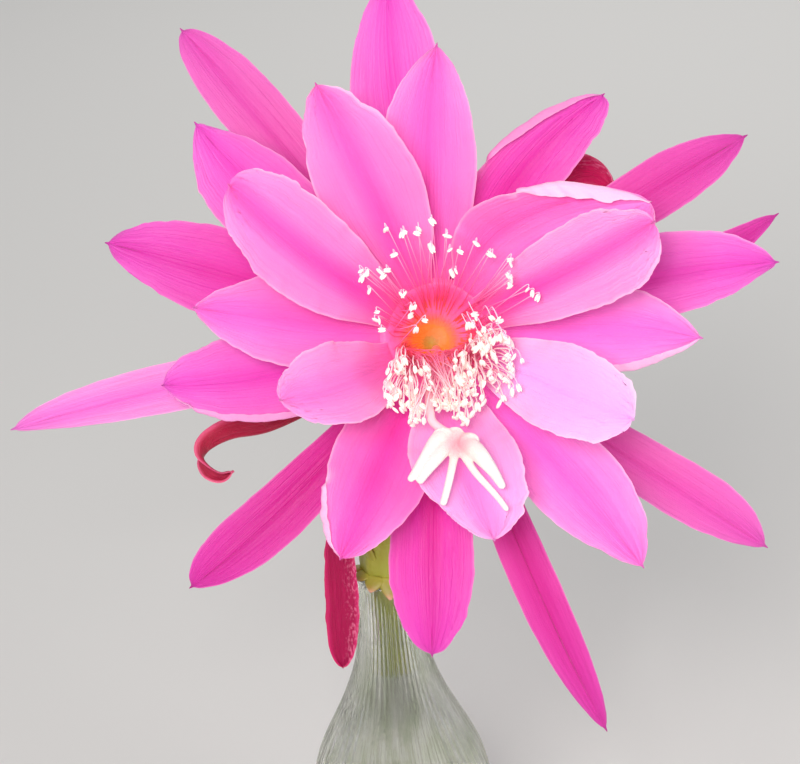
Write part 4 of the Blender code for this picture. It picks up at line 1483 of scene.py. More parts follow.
GROUPS = (
    StamenGroup(54, (188.0, 244.0), (-8.4, -12.6), (6.4, 7.6), (12.0, 19.0)),
    StamenGroup(70, (290.0, 352.0), (11.6, -9.4), (8.4, 9.8), (13.0, 20.0)),
    StamenGroup(18, (190.0, 228.0), (0.6, -16.4), (3.2, 3.4), (14.5, 19.5),
                hook=0.8, roots=(-10.0, -6.0), crest=((-5.4, -7.2, 2.0), (1.6, -4.6, 8.0))),
    StamenGroup(22, (312.0, 350.0), (4.4, -15.6), (4.0, 4.6), (14.5, 19.5),
                hook=0.8, roots=(-10.0, -6.0), crest=((-1.6, -7.2, 2.0), (5.6, -4.6, 8.0))),
    StamenGroup(9, (198.0, 236.0), (-7.0, -20.0), (2.6, 3.6), (16.0, 20.5),
                hook=1.2, roots=(-11.0, -6.0), crest=((-7.0, -10.4, 9.0), (-1.0, -8.4, 12.0))),
    StamenGroup(11, (304.0, 336.0), (4.6, -20.2), (3.0, 3.6), (16.0, 20.0),
                hook=1.2, roots=(-11.0, -6.0), crest=((1.6, -10.0, 9.0), (7.0, -8.4, 12.0))),
)


@dataclass(frozen=True)
class StamenKind:
    """How the spreading or the drooping stamens look; grip and lean set their anthers."""

    name: str
    skin: RampFinish
    size: float
    grip: float
    lean: float


# The stamens and the throat give off a small painted glow that lifts their shade
FAN = StamenKind("fan", RampFinish("fan_filament_skin", stored_along, ramp(
    (0.0, 252, 120, 84), (0.18, 250, 90, 140), (0.4, 252, 116, 178), (0.7, 254, 148, 202),
    (1.0, 255, 220, 234)), grain=1.0, relief=0.05, roughness=0.45, glow=0.2, painted_glow=0.04),
    size=1.05, grip=0.0, lean=1.8)
MASS = StamenKind("mass", RampFinish("mass_filament_skin", stored_along, ramp(
    (0.0, 250, 120, 90), (0.25, 252, 106, 136), (0.55, 254, 150, 184), (0.85, 255, 200, 208),
    (1.0, 255, 226, 220)), grain=1.0, relief=0.05, roughness=0.45, glow=0.3, painted_glow=0.05),
    size=1.22, grip=0.25, lean=0.6)
ANTHER_SKIN = RampFinish("anther_skin", stored_along, ramp((0.0, 255, 246, 232), (1.0, 255, 251, 241)),
                         grain=2.5, relief=0.12, roughness=0.7, glow=0.15, painted_glow=0.13)
THROAT_SKIN = RampFinish("throat_skin", throat_distance, ramp(
    (0.0, 168, 142, 44), (0.12, 184, 130, 44), (0.20, 236, 132, 46), (0.30, 254, 138, 56),
    (0.40, 255, 126, 100), (0.54, 255, 122, 186), (0.74, 255, 104, 176), (0.95, 255, 96, 164)),
    grain=1.0, relief=0.15, roughness=0.5, glow=0.25, painted_glow=0.18)

# The lining's profile, from its middle over the rim to its back: depth, radius and how far it is ridged
LINING = (
    (-13.7, 0.4, 0.0), (-13.6, 2.2, 0.0), (-13.1, 3.8, 0.4), (-12.0, 5.0, 0.8), (-9.0, 6.9, 1.0),
    (-4.5, 9.5, 1.0), (-1.8, 11.1, 0.9), (-0.6, 12.0, 0.6), (-0.1, 12.7, 0.4), (0.1, 13.3, 0.2),
    (0.1, 13.8, 0.0), (-0.35, 14.9, 0.0), (-0.5, 14.9, 0.0), (-0.15, 13.8, 0.0), (-0.25, 13.3, 0.0),
    (-0.8, 12.6, 0.0), (-4.5, 10.3, 0.0), (-9.0, 7.6, 0.0), (-13.2, 5.0, 0.0), (-14.2, 3.6, 0.0),
    (-14.3, 0.4, 0.0),
)

# The style's path, from its root to the stigma's hub
STYLE = ((-0.3, -3.7, -13.8), (-1.0, -6.4, -4.0), (-2.0, -10.2, 5.0), (-3.2, -15.0, 12.5),
         (-3.4, -19.8, 17.0), (-2.4, -22.8, 19.2), (2.6, -26.4, 21.2))


@dataclass
class Stamens:
    """The fan of upper stamens, the drooping mass below, and the lining they grow on."""

    filament: float = 0.135
    sides: int = 5
    anther_length: float = 2.2
    anther_width: float = 0.41
    anther_seed: int = 5
    clearance: float = 2.0
    tries: int = 60
    pair_share: float = 0.62
    azimuth_spread: float = 9.0
    wall_gaps: tuple[float, float, float] = (1.0, 1.5, 1.4)
    upward_hook: Vector = field(default_factory=lambda: Vector((0.0, 1.3, 0.5)))
    over_hook: Vector = field(default_factory=lambda: Vector((-1.4, 3.2, 1.2)))
    lining_steps: int = 216
    ridge_count: int = 36
    ridge_depth: float = 0.16
    draw: random.Random = field(default_factory=lambda: random.Random(19))
    style: list[Vector] = field(default_factory=lambda: smooth_points(STYLE, 8))

    def wall(self, azimuth: float, depth: float) -> list[Vector]:
        """Return a filament's first points, which run up along the throat's wall.

        Args:
            azimuth: Where round the wall it stands, in degrees.
            depth: How deep its root lies, negative behind the rim.

        Returns:
            Its root, a point half way up and a point at the rim.
        """
        middle = (depth - 1.0) / 2.0
        root_gap, middle_gap, rim_gap = self.wall_gaps
        return [polar(cavity_radius(depth) - root_gap, azimuth, depth),
                polar(cavity_radius(middle) - middle_gap, azimuth, middle),
                polar(cavity_radius(-1.0) - rim_gap, azimuth, 0.4)]

    def fan(self, tip: tuple[float, float], hook: Vector) -> list[Vector]:
        """Return the path of a stamen that spreads or hooks over.

        Args:
            tip: Where its anther lies, across and up.
            hook: How far its path passes beyond the tip before it bends down to it.

        Returns:
            The path, root to anther.
        """
        draw = self.draw
        reach = math.hypot(*tip)
        spread = self.azimuth_spread
        azimuth = math.degrees(math.atan2(tip[1], tip[0])) + draw.uniform(-spread, spread)
        if reach < 9.0 and tip[0] < 0.0:
            azimuth = draw.uniform(140.0, 200.0)
        end = Vector((*tip, 13.5 + reach * 0.26 + draw.uniform(-0.8, 0.8)))
        start = self.wall(azimuth, draw.uniform(-11.5, -5.0))
        middle = start[-1].lerp(end + hook, 0.55) + Vector((0.0, 0.0, draw.uniform(0.4, 1.6)))
        return smooth_points([*start, middle, end + hook, end], 5)

    def droop(self, group: StamenGroup, share: float) -> list[Vector]:
        """Return the path of a drooping stamen.

        Args:
            group: The group that it belongs to.
            share: How far round the group's stretch of wall it stands.

        Returns:
            The path, root to anther.
        """
        draw = self.draw
        azimuth = group.azimuths[0] + (group.azimuths[1] - group.azimuths[0]) * share
        angle, size = draw.uniform(0.0, math.tau), math.sqrt(draw.random())
        across = group.middle[0] + group.spread[0] * size * math.cos(angle)
        height = group.middle[1] + group.spread[1] * size * math.sin(angle)
        tip = Vector((across, height, draw.uniform(*group.lift)))
        start = self.wall(azimuth, draw.uniform(*group.roots))[:2]
        if group.crest:
            crest = Vector([draw.uniform(low, high) for low, high in zip(*group.crest)])
            over = crest.lerp(tip, 0.55) + Vector((0.0, 0.8, 2.6))
            bends = [start[-1].lerp(crest, 0.5) + Vector((0.0, 0.0, 0.6)), crest, over]
        else:
            bends = [start[-1].lerp(tip, 0.35) + Vector((0.0, 0.0, 2.0)),
                     start[-1].lerp(tip, 0.72) + Vector((0.0, group.hook * 1.3, 3.4))]
        lip = tip + Vector((draw.uniform(-0.5, 0.5), group.hook, 0.9))
        return smooth_points([*start, *bends, lip, tip], 4)

    def clear_path(self, maker: Callable[[], list[Vector]]) -> list[list[Vector]]:
        """Draw a path until it stays clear of the style.

        Args:
            maker: Makes a path with new random draws.

        Returns:
            The path in a list, which is empty where no draw was clear.
        """
        for _ in range(self.tries):
            path = maker()
            if min((place - spot).length for place in path for spot in self.style) > self.clearance:
                return [path]
        return []

    def fan_paths(self) -> list[list[Vector]]:
        """Draw the upper stamens, many of which stand in pairs.

        Returns:
            Their paths.
        """
        found = []
        for tips, hook in ((FAN_TIPS, self.upward_hook), (HOOKED_TIPS, self.over_hook)):
            for x, y in tips:
                found += self.clear_path(lambda: self.fan((x, y), hook))
                if self.draw.random() < self.pair_share:
                    beside = (x + self.draw.uniform(-1.5, 1.5), y + self.draw.uniform(-1.2, 1.2))
                    found += self.clear_path(lambda: self.fan(beside, hook))
        return found

    def mass_paths(self) -> list[list[Vector]]:
        """Draw the drooping stamens.

        Returns:
            Their paths.
        """
        found = []
        for group in GROUPS:
            for index in range(group.count):
                found += self.clear_path(lambda: self.droop(group, (index + 0.5) / group.count))
        return found

    @staticmethod
    def filament_tree() -> Growth:
        """Make the tree that sweeps a round, tapering filament along each path.

        Returns:
            The tree.
        """
        tree = Growth("filaments", {
            "Paths": bpy.types.Object, "Radius": float, "Sides": int, "Finish": bpy.types.Material})
        along = tree.wire("GeometryNodeSplineParameter", None, None, "Factor")
        marked = tree.store(tree.helper("Paths"), "path", tree.vector(along, 0.0, 0.0))
        ring = tree.wire("GeometryNodeCurvePrimitiveCircle", {"mode": "RADIUS"},
                         {"Resolution": tree.input("Sides"), "Radius": tree.input("Radius") * MM})
        tree.finish(tree.wire("GeometryNodeCurveToMesh", None,
                              {"Curve": marked, "Profile Curve": ring, "Fill Caps": True}))
        return tree

    @staticmethod
    def anther_tree() -> Growth:
        """Make the tree that sets a two-lobed anther on the end of each path.

        Returns:
            The tree.
        """
        tree = Growth("anthers", {
            "Paths": bpy.types.Object, "Length": float, "Width": float, "Grip": float, "Lean": float,
            "Seed": int, "Finish": bpy.types.Material})
        get = tree.input
        lobes = []
        for side in (-1.0, 1.0):
            ball = tree.wire("GeometryNodeMeshUVSphere", None, {"Segments": 6, "Rings": 5, "Radius": 1.0})
            size = tree.vector(get("Width") * MM, get("Width") * MM, get("Length") * (MM / 2))
            place = tree.vector(get("Width") * (0.72 * side * MM), 0.0, get("Length") * get("Grip") * MM)
            lobes.append(tree.wire("GeometryNodeTransform", None, {
                "Geometry": ball, "Translation": place, "Rotation": (0.0, math.radians(4.0 * side), 0.0),
                "Scale": size}))
        ends = tree.wire("GeometryNodeCurveEndpointSelection", None, {"Start Size": 0, "End Size": 1})
        ahead = tree.wire("GeometryNodeInputTangent")
        lean = tree.drawn((-1.0, -0.8, -0.5), (1.0, 0.8, 0.8), get("Seed"))
        aim = tree.wire("FunctionNodeAlignRotationToVector", {"axis": "Z"},
                        {"Vector": ahead + lean * get("Lean")})
        spin = tree.drawn((0.0, 0.0, 0.0), (0.0, 0.0, math.pi), get("Seed") + 3)
        turned = tree.wire("FunctionNodeRotateRotation", {"rotation_space": "LOCAL"},
                           {"Rotation": aim, "Rotate By": spin})
        size = tree.wire("FunctionNodeRandomValue", {"data_type": "FLOAT"},
                         {2: 0.75, 3: 1.15, "Seed": get("Seed") + 7}, 1)
        tree.finish(tree.wire("GeometryNodeInstanceOnPoints", None, {
            "Points": tree.helper("Paths"), "Selection": ends, "Instance": tree.join(*lobes),
            "Rotation": turned, "Scale": tree.vector(size, size, size)}))
        return tree

    def lining(self) -> bpy.types.Mesh:
        """Shape the throat's lining: a ridged cup whose rim meets the petals' bases.

        Returns:
            Its mesh.
        """
        rings = []
        for depth, radius, ridged in LINING:
            ring = []
            for step in range(self.lining_steps):
                angle = 360.0 * step / self.lining_steps
                waver = 40.0 * math.cos(angle * 0.14)
                ridge = self.ridge_depth * ridged * math.cos(math.radians(angle * self.ridge_count + waver))
                ring.append(polar(radius - ridge, angle, depth))
            rings.append(ring)
        return loft("throat_lining", rings)

    def build(self) -> None:
        """Grow and place the filaments, the anthers and the lining."""
        threads, anthers = self.filament_tree(), self.anther_tree()
        for kind, paths in ((FAN, self.fan_paths()), (MASS, self.mass_paths())):
            radii = [[1.3 - 0.5 * number / (len(path) - 1) for number in range(len(path))] for path in paths]
            helper = path_object("stamen_paths", paths, radii)
            grown = {
                "filaments": threads.grow({
                    "Paths": helper, "Radius": self.filament * kind.size, "Sides": self.sides,
                    "Finish": kind.skin.material()}),
                "anthers": anthers.grow({
                    "Paths": helper, "Length": self.anther_length * kind.size,
                    "Width": self.anther_width * kind.size, "Grip": kind.grip, "Lean": kind.lean,
                    "Seed": self.anther_seed, "Finish": ANTHER_SKIN.material()}),
            }
            bpy.data.objects.remove(helper, do_unlink=True)
            for part, mesh in grown.items():
                mesh.transform(bloom_matrix())
                place_piece(f"{kind.name}_{part}", mesh, Slot.STAMEN, ["stamens"])
        cup = self.lining()
        cup.materials.append(THROAT_SKIN.material())
        cup.transform(bloom_matrix())
        place_piece("throat_lining", cup, Slot.STAMEN, ["stamens"])


@dataclass(frozen=True)
class Lobe:
    """A lobe of the stigma: its radius at its root, belly and tip, and the points it passes through."""

    radii: tuple[float, float, float]
    points: tuple[Point, ...]


LOBES = (
    Lobe((2.0, 1.5, 0.75), ((-0.6, -25.8, 22.0), (-2.6, -26.9, 22.8), (-5.2, -30.3, 24.5),
                            (-7.8, -33.7, 26.5), (-9.9, -36.2, 28.2))),
    Lobe((2.0, 1.7, 0.85), ((1.4, -27.0, 22.0), (-2.2, -30.4, 24.4), (-5.0, -33.5, 26.5),
                            (-7.7, -36.8, 28.6))),
    Lobe((1.5, 0.95, 0.8), ((2.4, -28.2, 22.0), (1.9, -30.4, 23.4), (0.7, -34.6, 26.2), (-0.8, -39.2, 29.1),
                            (-2.1, -42.6, 31.2))),
    Lobe((1.2, 0.85, 0.65), ((3.0, -28.6, 22.0), (4.0, -30.6, 23.2), (6.7, -35.3, 26.0), (9.6, -39.0, 28.6),
                             (11.9, -42.0, 30.6), (13.8, -45.0, 32.4))),
    Lobe((2.4, 1.95, 0.8), ((4.4, -27.6, 22.0), (7.2, -29.9, 24.2), (9.4, -32.8, 25.8), (11.3, -35.7, 27.4),
                            (13.3, -39.6, 29.6))),
    Lobe((2.2, 2.5, 2.3), ((0.6, -26.4, 21.2), (-0.6, -25.8, 22.4), (-0.9, -25.6, 23.2))),
    Lobe((2.0, 2.2, 2.0), ((2.2, -26.4, 21.2), (2.4, -25.6, 22.2), (2.5, -25.4, 22.8))),
    Lobe((2.2, 2.6, 2.4), ((4.4, -27.6, 21.4), (5.6, -27.6, 22.8), (6.0, -27.7, 23.6))),
)


# The front of the stigma's hub, and how far the pink round it reaches
HUB_FRONT = Vector((2.9, -27.9, 24.4))
HUB_REACH = 9.0

STYLE_FINISH = RampFinish("style_finish", throat_distance, ramp(
    (0.0, 250, 176, 150), (0.5, 250, 170, 190), (1.0, 252, 206, 214)),
    grain=1.0, relief=0.05, roughness=0.45, glow=0.2)


@dataclass
class Pistil:
    """The style and the stigma's star of lobes."""

    hub: Point = STYLE[-1]
    hub_radius: float = 2.5
    style_radius: float = 1.3
    style_sides: int = 20
    lobes: tuple[Lobe, ...] = LOBES
    lobe_sides: int = 16
    voxel: float = 0.24

    def style_mesh(self) -> bpy.types.Mesh:
        """Shape the style: a slim column, a little thicker at its foot.

        Returns:
            Its mesh, which ends inside the hub.
        """
        path = smooth_points(STYLE, 8)[:-4]
        radii = [self.style_radius - 0.25 * row / len(path) for row in range(len(path))]
        return loft("style_skin", swept_rings(path, radii, self.style_sides))

    @staticmethod
    def lobe_radii(lobe: Lobe, rows: int) -> list[float]:
        """Work out a lobe's radius from its root over its belly to its round tip.

        Args:
            lobe: The lobe.
            rows: How many points its path has.

        Returns:
            The radius at each point.
        """
        root, belly, end = lobe.radii
        radii = []
        for row in range(rows):
            t = row / (rows - 1)
            tip = math.sqrt(max(1.0 - max((t - 0.93) / 0.07, 0.0) ** 2, 0.02))
            size = root + (belly - root) * min(t * 2.5, 1.0) + (end - belly) * max(t * 1.7 - 0.7, 0.0)
            radii.append(size * tip)
        return radii

    def stigma_mesh(self) -> bpy.types.Mesh:
        """Shape the lobes and their hub, melted into one soft form.

        Returns:
            Their mesh.
        """
        bm = bmesh.new()
        bmesh.ops.create_icosphere(bm, subdivisions=3, radius=self.hub_radius * MM)
        bmesh.ops.translate(bm, verts=bm.verts, vec=Vector(self.hub) * MM)
        for lobe in self.lobes:
            path = smooth_points(lobe.points, 8)
            rings = swept_rings(path, self.lobe_radii(lobe, len(path)), self.lobe_sides,
                                lambda row, angle: 1.0 + 0.10 * math.cos(2 * angle))
            part = loft("lobe", rings)
            bm.from_mesh(part)
            bpy.data.meshes.remove(part)
        mesh = bpy.data.meshes.new("stigma_skin")
        bm.to_mesh(mesh)
        bm.free()
        return self.melt(mesh)

    def melt(self, mesh: bpy.types.Mesh) -> bpy.types.Mesh:
        """Melt a mesh's crossing shells into one smooth shell.

        Args:
            mesh: The shells.

        Returns:
            The new mesh.
        """
        holder = add_object("melt", mesh)
        remesh = holder.modifiers.new("remesh", "REMESH")
        remesh.mode = "VOXEL"
        remesh.voxel_size = self.voxel * MM
        remesh.use_smooth_shade = True
        smooth = holder.modifiers.new("smooth", "SMOOTH")
        smooth.factor = 0.5
        smooth.iterations = 5
        depsgraph = bpy.context.evaluated_depsgraph_get()
        result = bpy.data.meshes.new_from_object(holder.evaluated_get(depsgraph))
        bpy.data.objects.remove(holder, do_unlink=True)
        return result

    @staticmethod
    def hub_distance(graph: Graph) -> Wire:
        """Measure the distance from the front of the hub.

        Args:
            graph: The material's graph.

        Returns:
            The distance as a share of HUB_REACH.
        """
        place = graph.own_place()
        offset = place - graph.vector(*(bloom_matrix() @ (HUB_FRONT * MM)))
        return graph.dot(offset, offset) ** 0.5 / (HUB_REACH * MM)

    def build(self) -> None:
        """Make and place the style and the stigma."""
        stigma = RampFinish("stigma_finish", self.hub_distance, ramp(
            (0.0, 248, 152, 168), (0.20, 250, 184, 190), (0.44, 252, 230, 222), (1.0, 250, 248, 240)),
            grain=2.6, relief=0.35, roughness=0.8, glow=0.12)
        for name, mesh, finish, slot, node in (
                ("style_column", self.style_mesh(), STYLE_FINISH, Slot.STYLE, "style"),
                ("stigma_star", self.stigma_mesh(), stigma, Slot.STIGMA, "stigma")):
            mesh.materials.clear()
            mesh.materials.append(finish.material())
            mesh.transform(bloom_matrix())
            place_piece(name, mesh, slot, [node])


# The green tube

# The tube's lower stretch, as centre and radius from the cut end up
STEM = ((0.0, 0.0, 90.0, 3.0), (0.0, 0.0, 96.0, 3.3), (0.0, 0.0, 106.0, 3.8), (0.0, 0.0, 116.0, 4.6),
        (0.0, 0.0, 121.5, 5.8), (0.0, 0.0, 124.5, 7.1), (0.4, 0.1, 129.0, 7.5), (1.6, 0.5, 135.0, 6.7),
        (3.6, 1.3, 142.0, 5.7), (6.8, 2.4, 152.0, 5.1), (10.4, 3.6, 163.0, 4.8), (13.4, 4.5, 172.0, 4.8))

# Each bract's height, azimuth, tilt, length and width, where a negative tilt lets it hang and curl outwards
BRACTS = (
    (126.2, 186.0, -2.20, 0.34, 1.10), (126.4, 212.0, -2.40, 0.42, 1.45), (126.8, 242.0, -2.62, 0.58, 1.60),
    (127.0, 274.0, -2.68, 0.80, 1.60), (126.6, 330.0, -2.60, 0.70, 1.20), (128.5, 300.0, 0.12, 0.95, 0.95),
    (130.0, 172.0, 0.14, 1.00, 1.00), (130.5, 232.0, 0.10, 0.90, 0.90), (134.5, 262.0, 0.08, 1.05, 1.05),
    (136.0, 330.0, 0.10, 1.00, 1.00), (138.0, 205.0, 0.12, 1.05, 1.05), (143.0, 20.0, 0.10, 1.10, 1.10),
    (144.0, 236.0, 0.08, 1.00, 1.00), (147.0, 285.0, 0.08, 1.05, 1.05), (151.0, 100.0, 0.06, 1.00, 1.00),
    (155.0, 200.0, 0.06, 1.10, 1.10),
)


TUBE_SKIN = RampFinish("green_tube_skin", throat_depth, ramp(
    (0.0, 252, 84, 162), (0.12, 240, 90, 120), (0.5, 180, 140, 66), (0.8, 166, 164, 60),
    (1.0, 162, 164, 62)), grain=0.5, relief=0.35, roughness=0.45, glow=0.08)
BRACT_SKIN = RampFinish("bract_skin", stored_along, ramp(
    (0.0, 172, 172, 66), (0.5, 152, 146, 50), (0.72, 160, 140, 62), (0.88, 198, 150, 112),
    (1.0, 216, 150, 140)), grain=0.8, relief=0.2, roughness=0.45, glow=0.08)


@dataclass
class FlowerTube:
    """The green tube with its bracts, from the cut end in the water to the throat's rim."""

    stem: tuple[tuple[float, float, float, float], ...] = STEM
    neck_radius: float = 4.8
    bend_end: float = 20.0
    bend_handle: float = 9.5
    bend_steps: int = 5
    sides: int = 72
    rib_count: int = 8
    rib_height: float = 0.035
    bracts: tuple[tuple[float, float, float, float, float], ...] = BRACTS
    bract_length: float = 8.4
    bract_width: float = 5.6
    bract_thickness: float = 0.7
    bract_sink: float = 0.5
    bract_drop: float = 1.5
    bract_rows: int = 22
    bract_columns: int = 15

    def path(self) -> tuple[list[Vector], list[float]]:
        """Follow the stem, the bend behind the bloom and the funnel up to its rim.

        Returns:
            The centre points, and the radius at each.
        """
        points = [Vector(point[:3]) for point in self.stem]
        radii = [point[3] for point in self.stem]
        start, end = points[-1], THROAT - FORWARD * self.bend_end
        first = start + (points[-1] - points[-2]).normalized() * self.bend_handle
        second = end - FORWARD * self.bend_handle
        funnel_start = funnel_radius(-self.bend_end)
        for step in range(1, self.bend_steps + 1):
            t = step / self.bend_steps
            back = 1.0 - t
            place = start * back ** 3 + first * (3 * back * back * t)
            points.append(place + second * (3 * back * t * t) + end * t ** 3)
            radii.append(self.neck_radius + (funnel_start - self.neck_radius) * t)
        for depth in (-13.0, -6.0, -0.6):
            points.append(THROAT + FORWARD * depth)
            radii.append(funnel_radius(depth))
        track = smooth_points([(r, 0.0, 0.0) for r in radii], 4)
        return smooth_points(points, 4), [place.x for place in track]

    def mesh(self) -> bpy.types.Mesh:
        """Shape the tube: ribbed outside, round rim, smooth cavity.

        Returns:
            Its mesh.
        """
        path, radii = self.path()
        length = len(path)

        def ribs(row: int, angle: float) -> float:
            """Return the soft ribs of the tube, which fade at both ends."""
            fade = min(max(row - 14, 0) / 8.0, max(length - 8 - row, 0) / 8.0, 1.0)
            return 1.0 + self.rib_height * fade * math.cos(self.rib_count * angle)

        rings = swept_rings(path, radii, self.sides, ribs)
        rim = ((-0.1, 14.2), (0.0, 13.8), (-0.1, 13.4))
        cavity = tuple((depth, cavity_radius(depth)) for depth in (-0.5, -5.0, -10.0))
        floor = ((-14.6, 4.6), (-15.0, 4.0), (-15.2, 2.0))
        angles = [math.tau * step / self.sides for step in range(self.sides)]
        for depth, radius in rim + cavity + floor:
            centre = THROAT + FORWARD * depth
            rings.append([centre + (ACROSS * math.cos(angle) + UPWARD * math.sin(angle)) * radius
                          for angle in angles])
        return loft("flower_tube_skin", rings)

    @staticmethod
    def bract_tree() -> Growth:
        """Make the tree that sets a pointed bract on each point, turned as the point says.

        Returns:
            The tree.
        """
        tree = Growth("bracts", {
            "Points": bpy.types.Object, "Length": float, "Width": float, "Thickness": float, "Rows": int,
            "Columns": int, "Finish": bpy.types.Material})
        get = tree.input
        grid, t, edge = blade_grid(tree)
        half = get("Width") * 0.5 * (t * 0.9 + 0.1) ** 0.35 * (1.0 - t ** 2.0).at_least(0.0) ** 1.05
        bulge = (t * math.pi).sine() * 0.7 - edge * edge * half * 0.28 + t * t * 1.1
        position = tree.vector(bulge * MM, edge * half * MM, t * get("Length") * MM)
        marked = tree.store(grid, "path", tree.vector(t, edge, 0.0))
        marked = tree.store(marked, "rim", tree.vector(edge, 0.0, t))
        bract = thick_blade(tree, tree.place(marked, position))
        turn = tree.wire("FunctionNodeEulerToRotation", None, {0: tree.stored("facing")})
        tree.finish(tree.wire("GeometryNodeInstanceOnPoints", None, {
            "Points": tree.helper("Points"), "Instance": bract, "Rotation": turn,
            "Scale": tree.stored("size")}))
        return tree

    def bract_points(self) -> bpy.types.Object:
        """Find each bract's place on the tube, its turn and its size.

        Returns:
            A helper whose points carry them, which its user removes.
        """
        path, radii = self.path()
        draw = random.Random(4)
        places, turns, sizes = [], [], []
        for height, azimuth, tilt, length, width in self.bracts:
            row = min(range(len(path)), key=lambda index: abs(path[index].z - height))
            angle = math.radians(azimuth)
            out = Vector((math.cos(angle), math.sin(angle), 0.0))
            seat = path[row] + out * (radii[row] - self.bract_sink)
            places.append((seat - Vector((0.0, 0.0, self.bract_drop))) * MM)
            turns.append((draw.uniform(-0.08, 0.08), tilt, angle if tilt > 0.0 else angle + math.pi))
            sizes.append((1.0, width, length))
        mesh = bpy.data.meshes.new("bract_points")
        mesh.from_pydata(places, [], [])
        for name, values in (("facing", turns), ("size", sizes)):
            layer = mesh.attributes.new(name, "FLOAT_VECTOR", "POINT")
            for item, value in zip(layer.data, values):
                item.vector = value
        return add_object("bract_points", mesh)

    def build(self) -> None:
        """Make and place the tube and its bracts."""
        tube = self.mesh()
        tube.materials.append(TUBE_SKIN.material())
        place_piece("flower_tube_skin", tube, Slot.GREEN_TUBE, ["flower_tube"])
        helper = self.bract_points()
        mesh = split_corners(self.bract_tree().grow({
            "Points": helper, "Length": self.bract_length, "Width": self.bract_width,
            "Thickness": self.bract_thickness, "Rows": self.bract_rows, "Columns": self.bract_columns,
            "Finish": BRACT_SKIN.material()}))
        bpy.data.objects.remove(helper, do_unlink=True)
        place_piece("tube_bracts", mesh, Slot.GREEN_TUBE, ["flower_tube"])


# Vase and water

# The vase's outline outside from foot to lip, as height and radius
OUTLINE = ((1.2, 21.4), (7.0, 23.2), (16.0, 25.1), (30.0, 26.7), (44.0, 27.0), (53.0, 26.2),
           (60.0, 24.8), (67.0, 22.2), (75.0, 18.4), (83.0, 14.8), (93.0, 11.4), (104.0, 9.5),
           (113.0, 8.9), (119.5, 8.5))

# The round lip from inside to outside, and the foot down to the axis, as (radius, 0, height)
LIP = ((6.5, 0.0, 121.2), (6.75, 0.0, 121.8), (7.2, 0.0, 122.0), (7.8, 0.0, 121.8), (8.2, 0.0, 121.2))
FOOT = ((20.6, 0.0, 0.2), (20.0, 0.0, 0.0), (0.0, 0.0, 0.0))


@dataclass(frozen=True)
class Ribs:
    """Ribs round a turned wall, and where along its profile they start and end."""

    count: float = 1.0
    depth: float = 0.0
    start: float = 0.0
    end: float = 1.0


def turning_tree() -> Growth:
    """Make the tree that turns a profile round the axis, with wavering ribs on a stretch of it.

    Returns:
        The tree.
    """
    tree = Growth("turned_wall", {
        "Profile": bpy.types.Object, "Steps": int, "Rings": int, "Rib Count": float,
        "Rib Depth": float, "Rib Start": float, "Rib End": float, "Waver": float, "Seed": float,
        "Finish": bpy.types.Material,
    })
    get = tree.input
    grid, x, y = tree.grid("Steps", "Rings")
    angle, along = (x + 0.5) * math.tau, y + 0.5
    spot = tree.wire("GeometryNodeSampleCurve", {"mode": "FACTOR"},
                     {"Curves": tree.helper("Profile"), "Factor": along}, "Position")
    radius, _, height = tree.split(spot)
    around = tree.vector(angle.cosine() * 1.3, angle.sine() * 1.3, height * 16.0 + get("Seed"))
    waver = (tree.noise(around, 1.6, 2.0) - 0.5) * get("Waver")
    strength = 0.25 + tree.noise(around, 3.4, 2.0) * 1.3
    wave = (angle * get("Rib Count") + waver).cosine() * 0.5 + 0.5
    inside = ((along - get("Rib Start")) * 30.0).share() * ((get("Rib End") - along) * 30.0).share()
    slim = (radius / (22.0 * MM)).at_most(1.0)
    dip = (wave ** 1.6) * strength * get("Rib Depth") * MM * inside * slim
    bent = (radius - dip).at_least(0.0)
    tree.finish(tree.place(grid, tree.vector(bent * angle.cosine(), bent * angle.sine(), height)))
    return tree


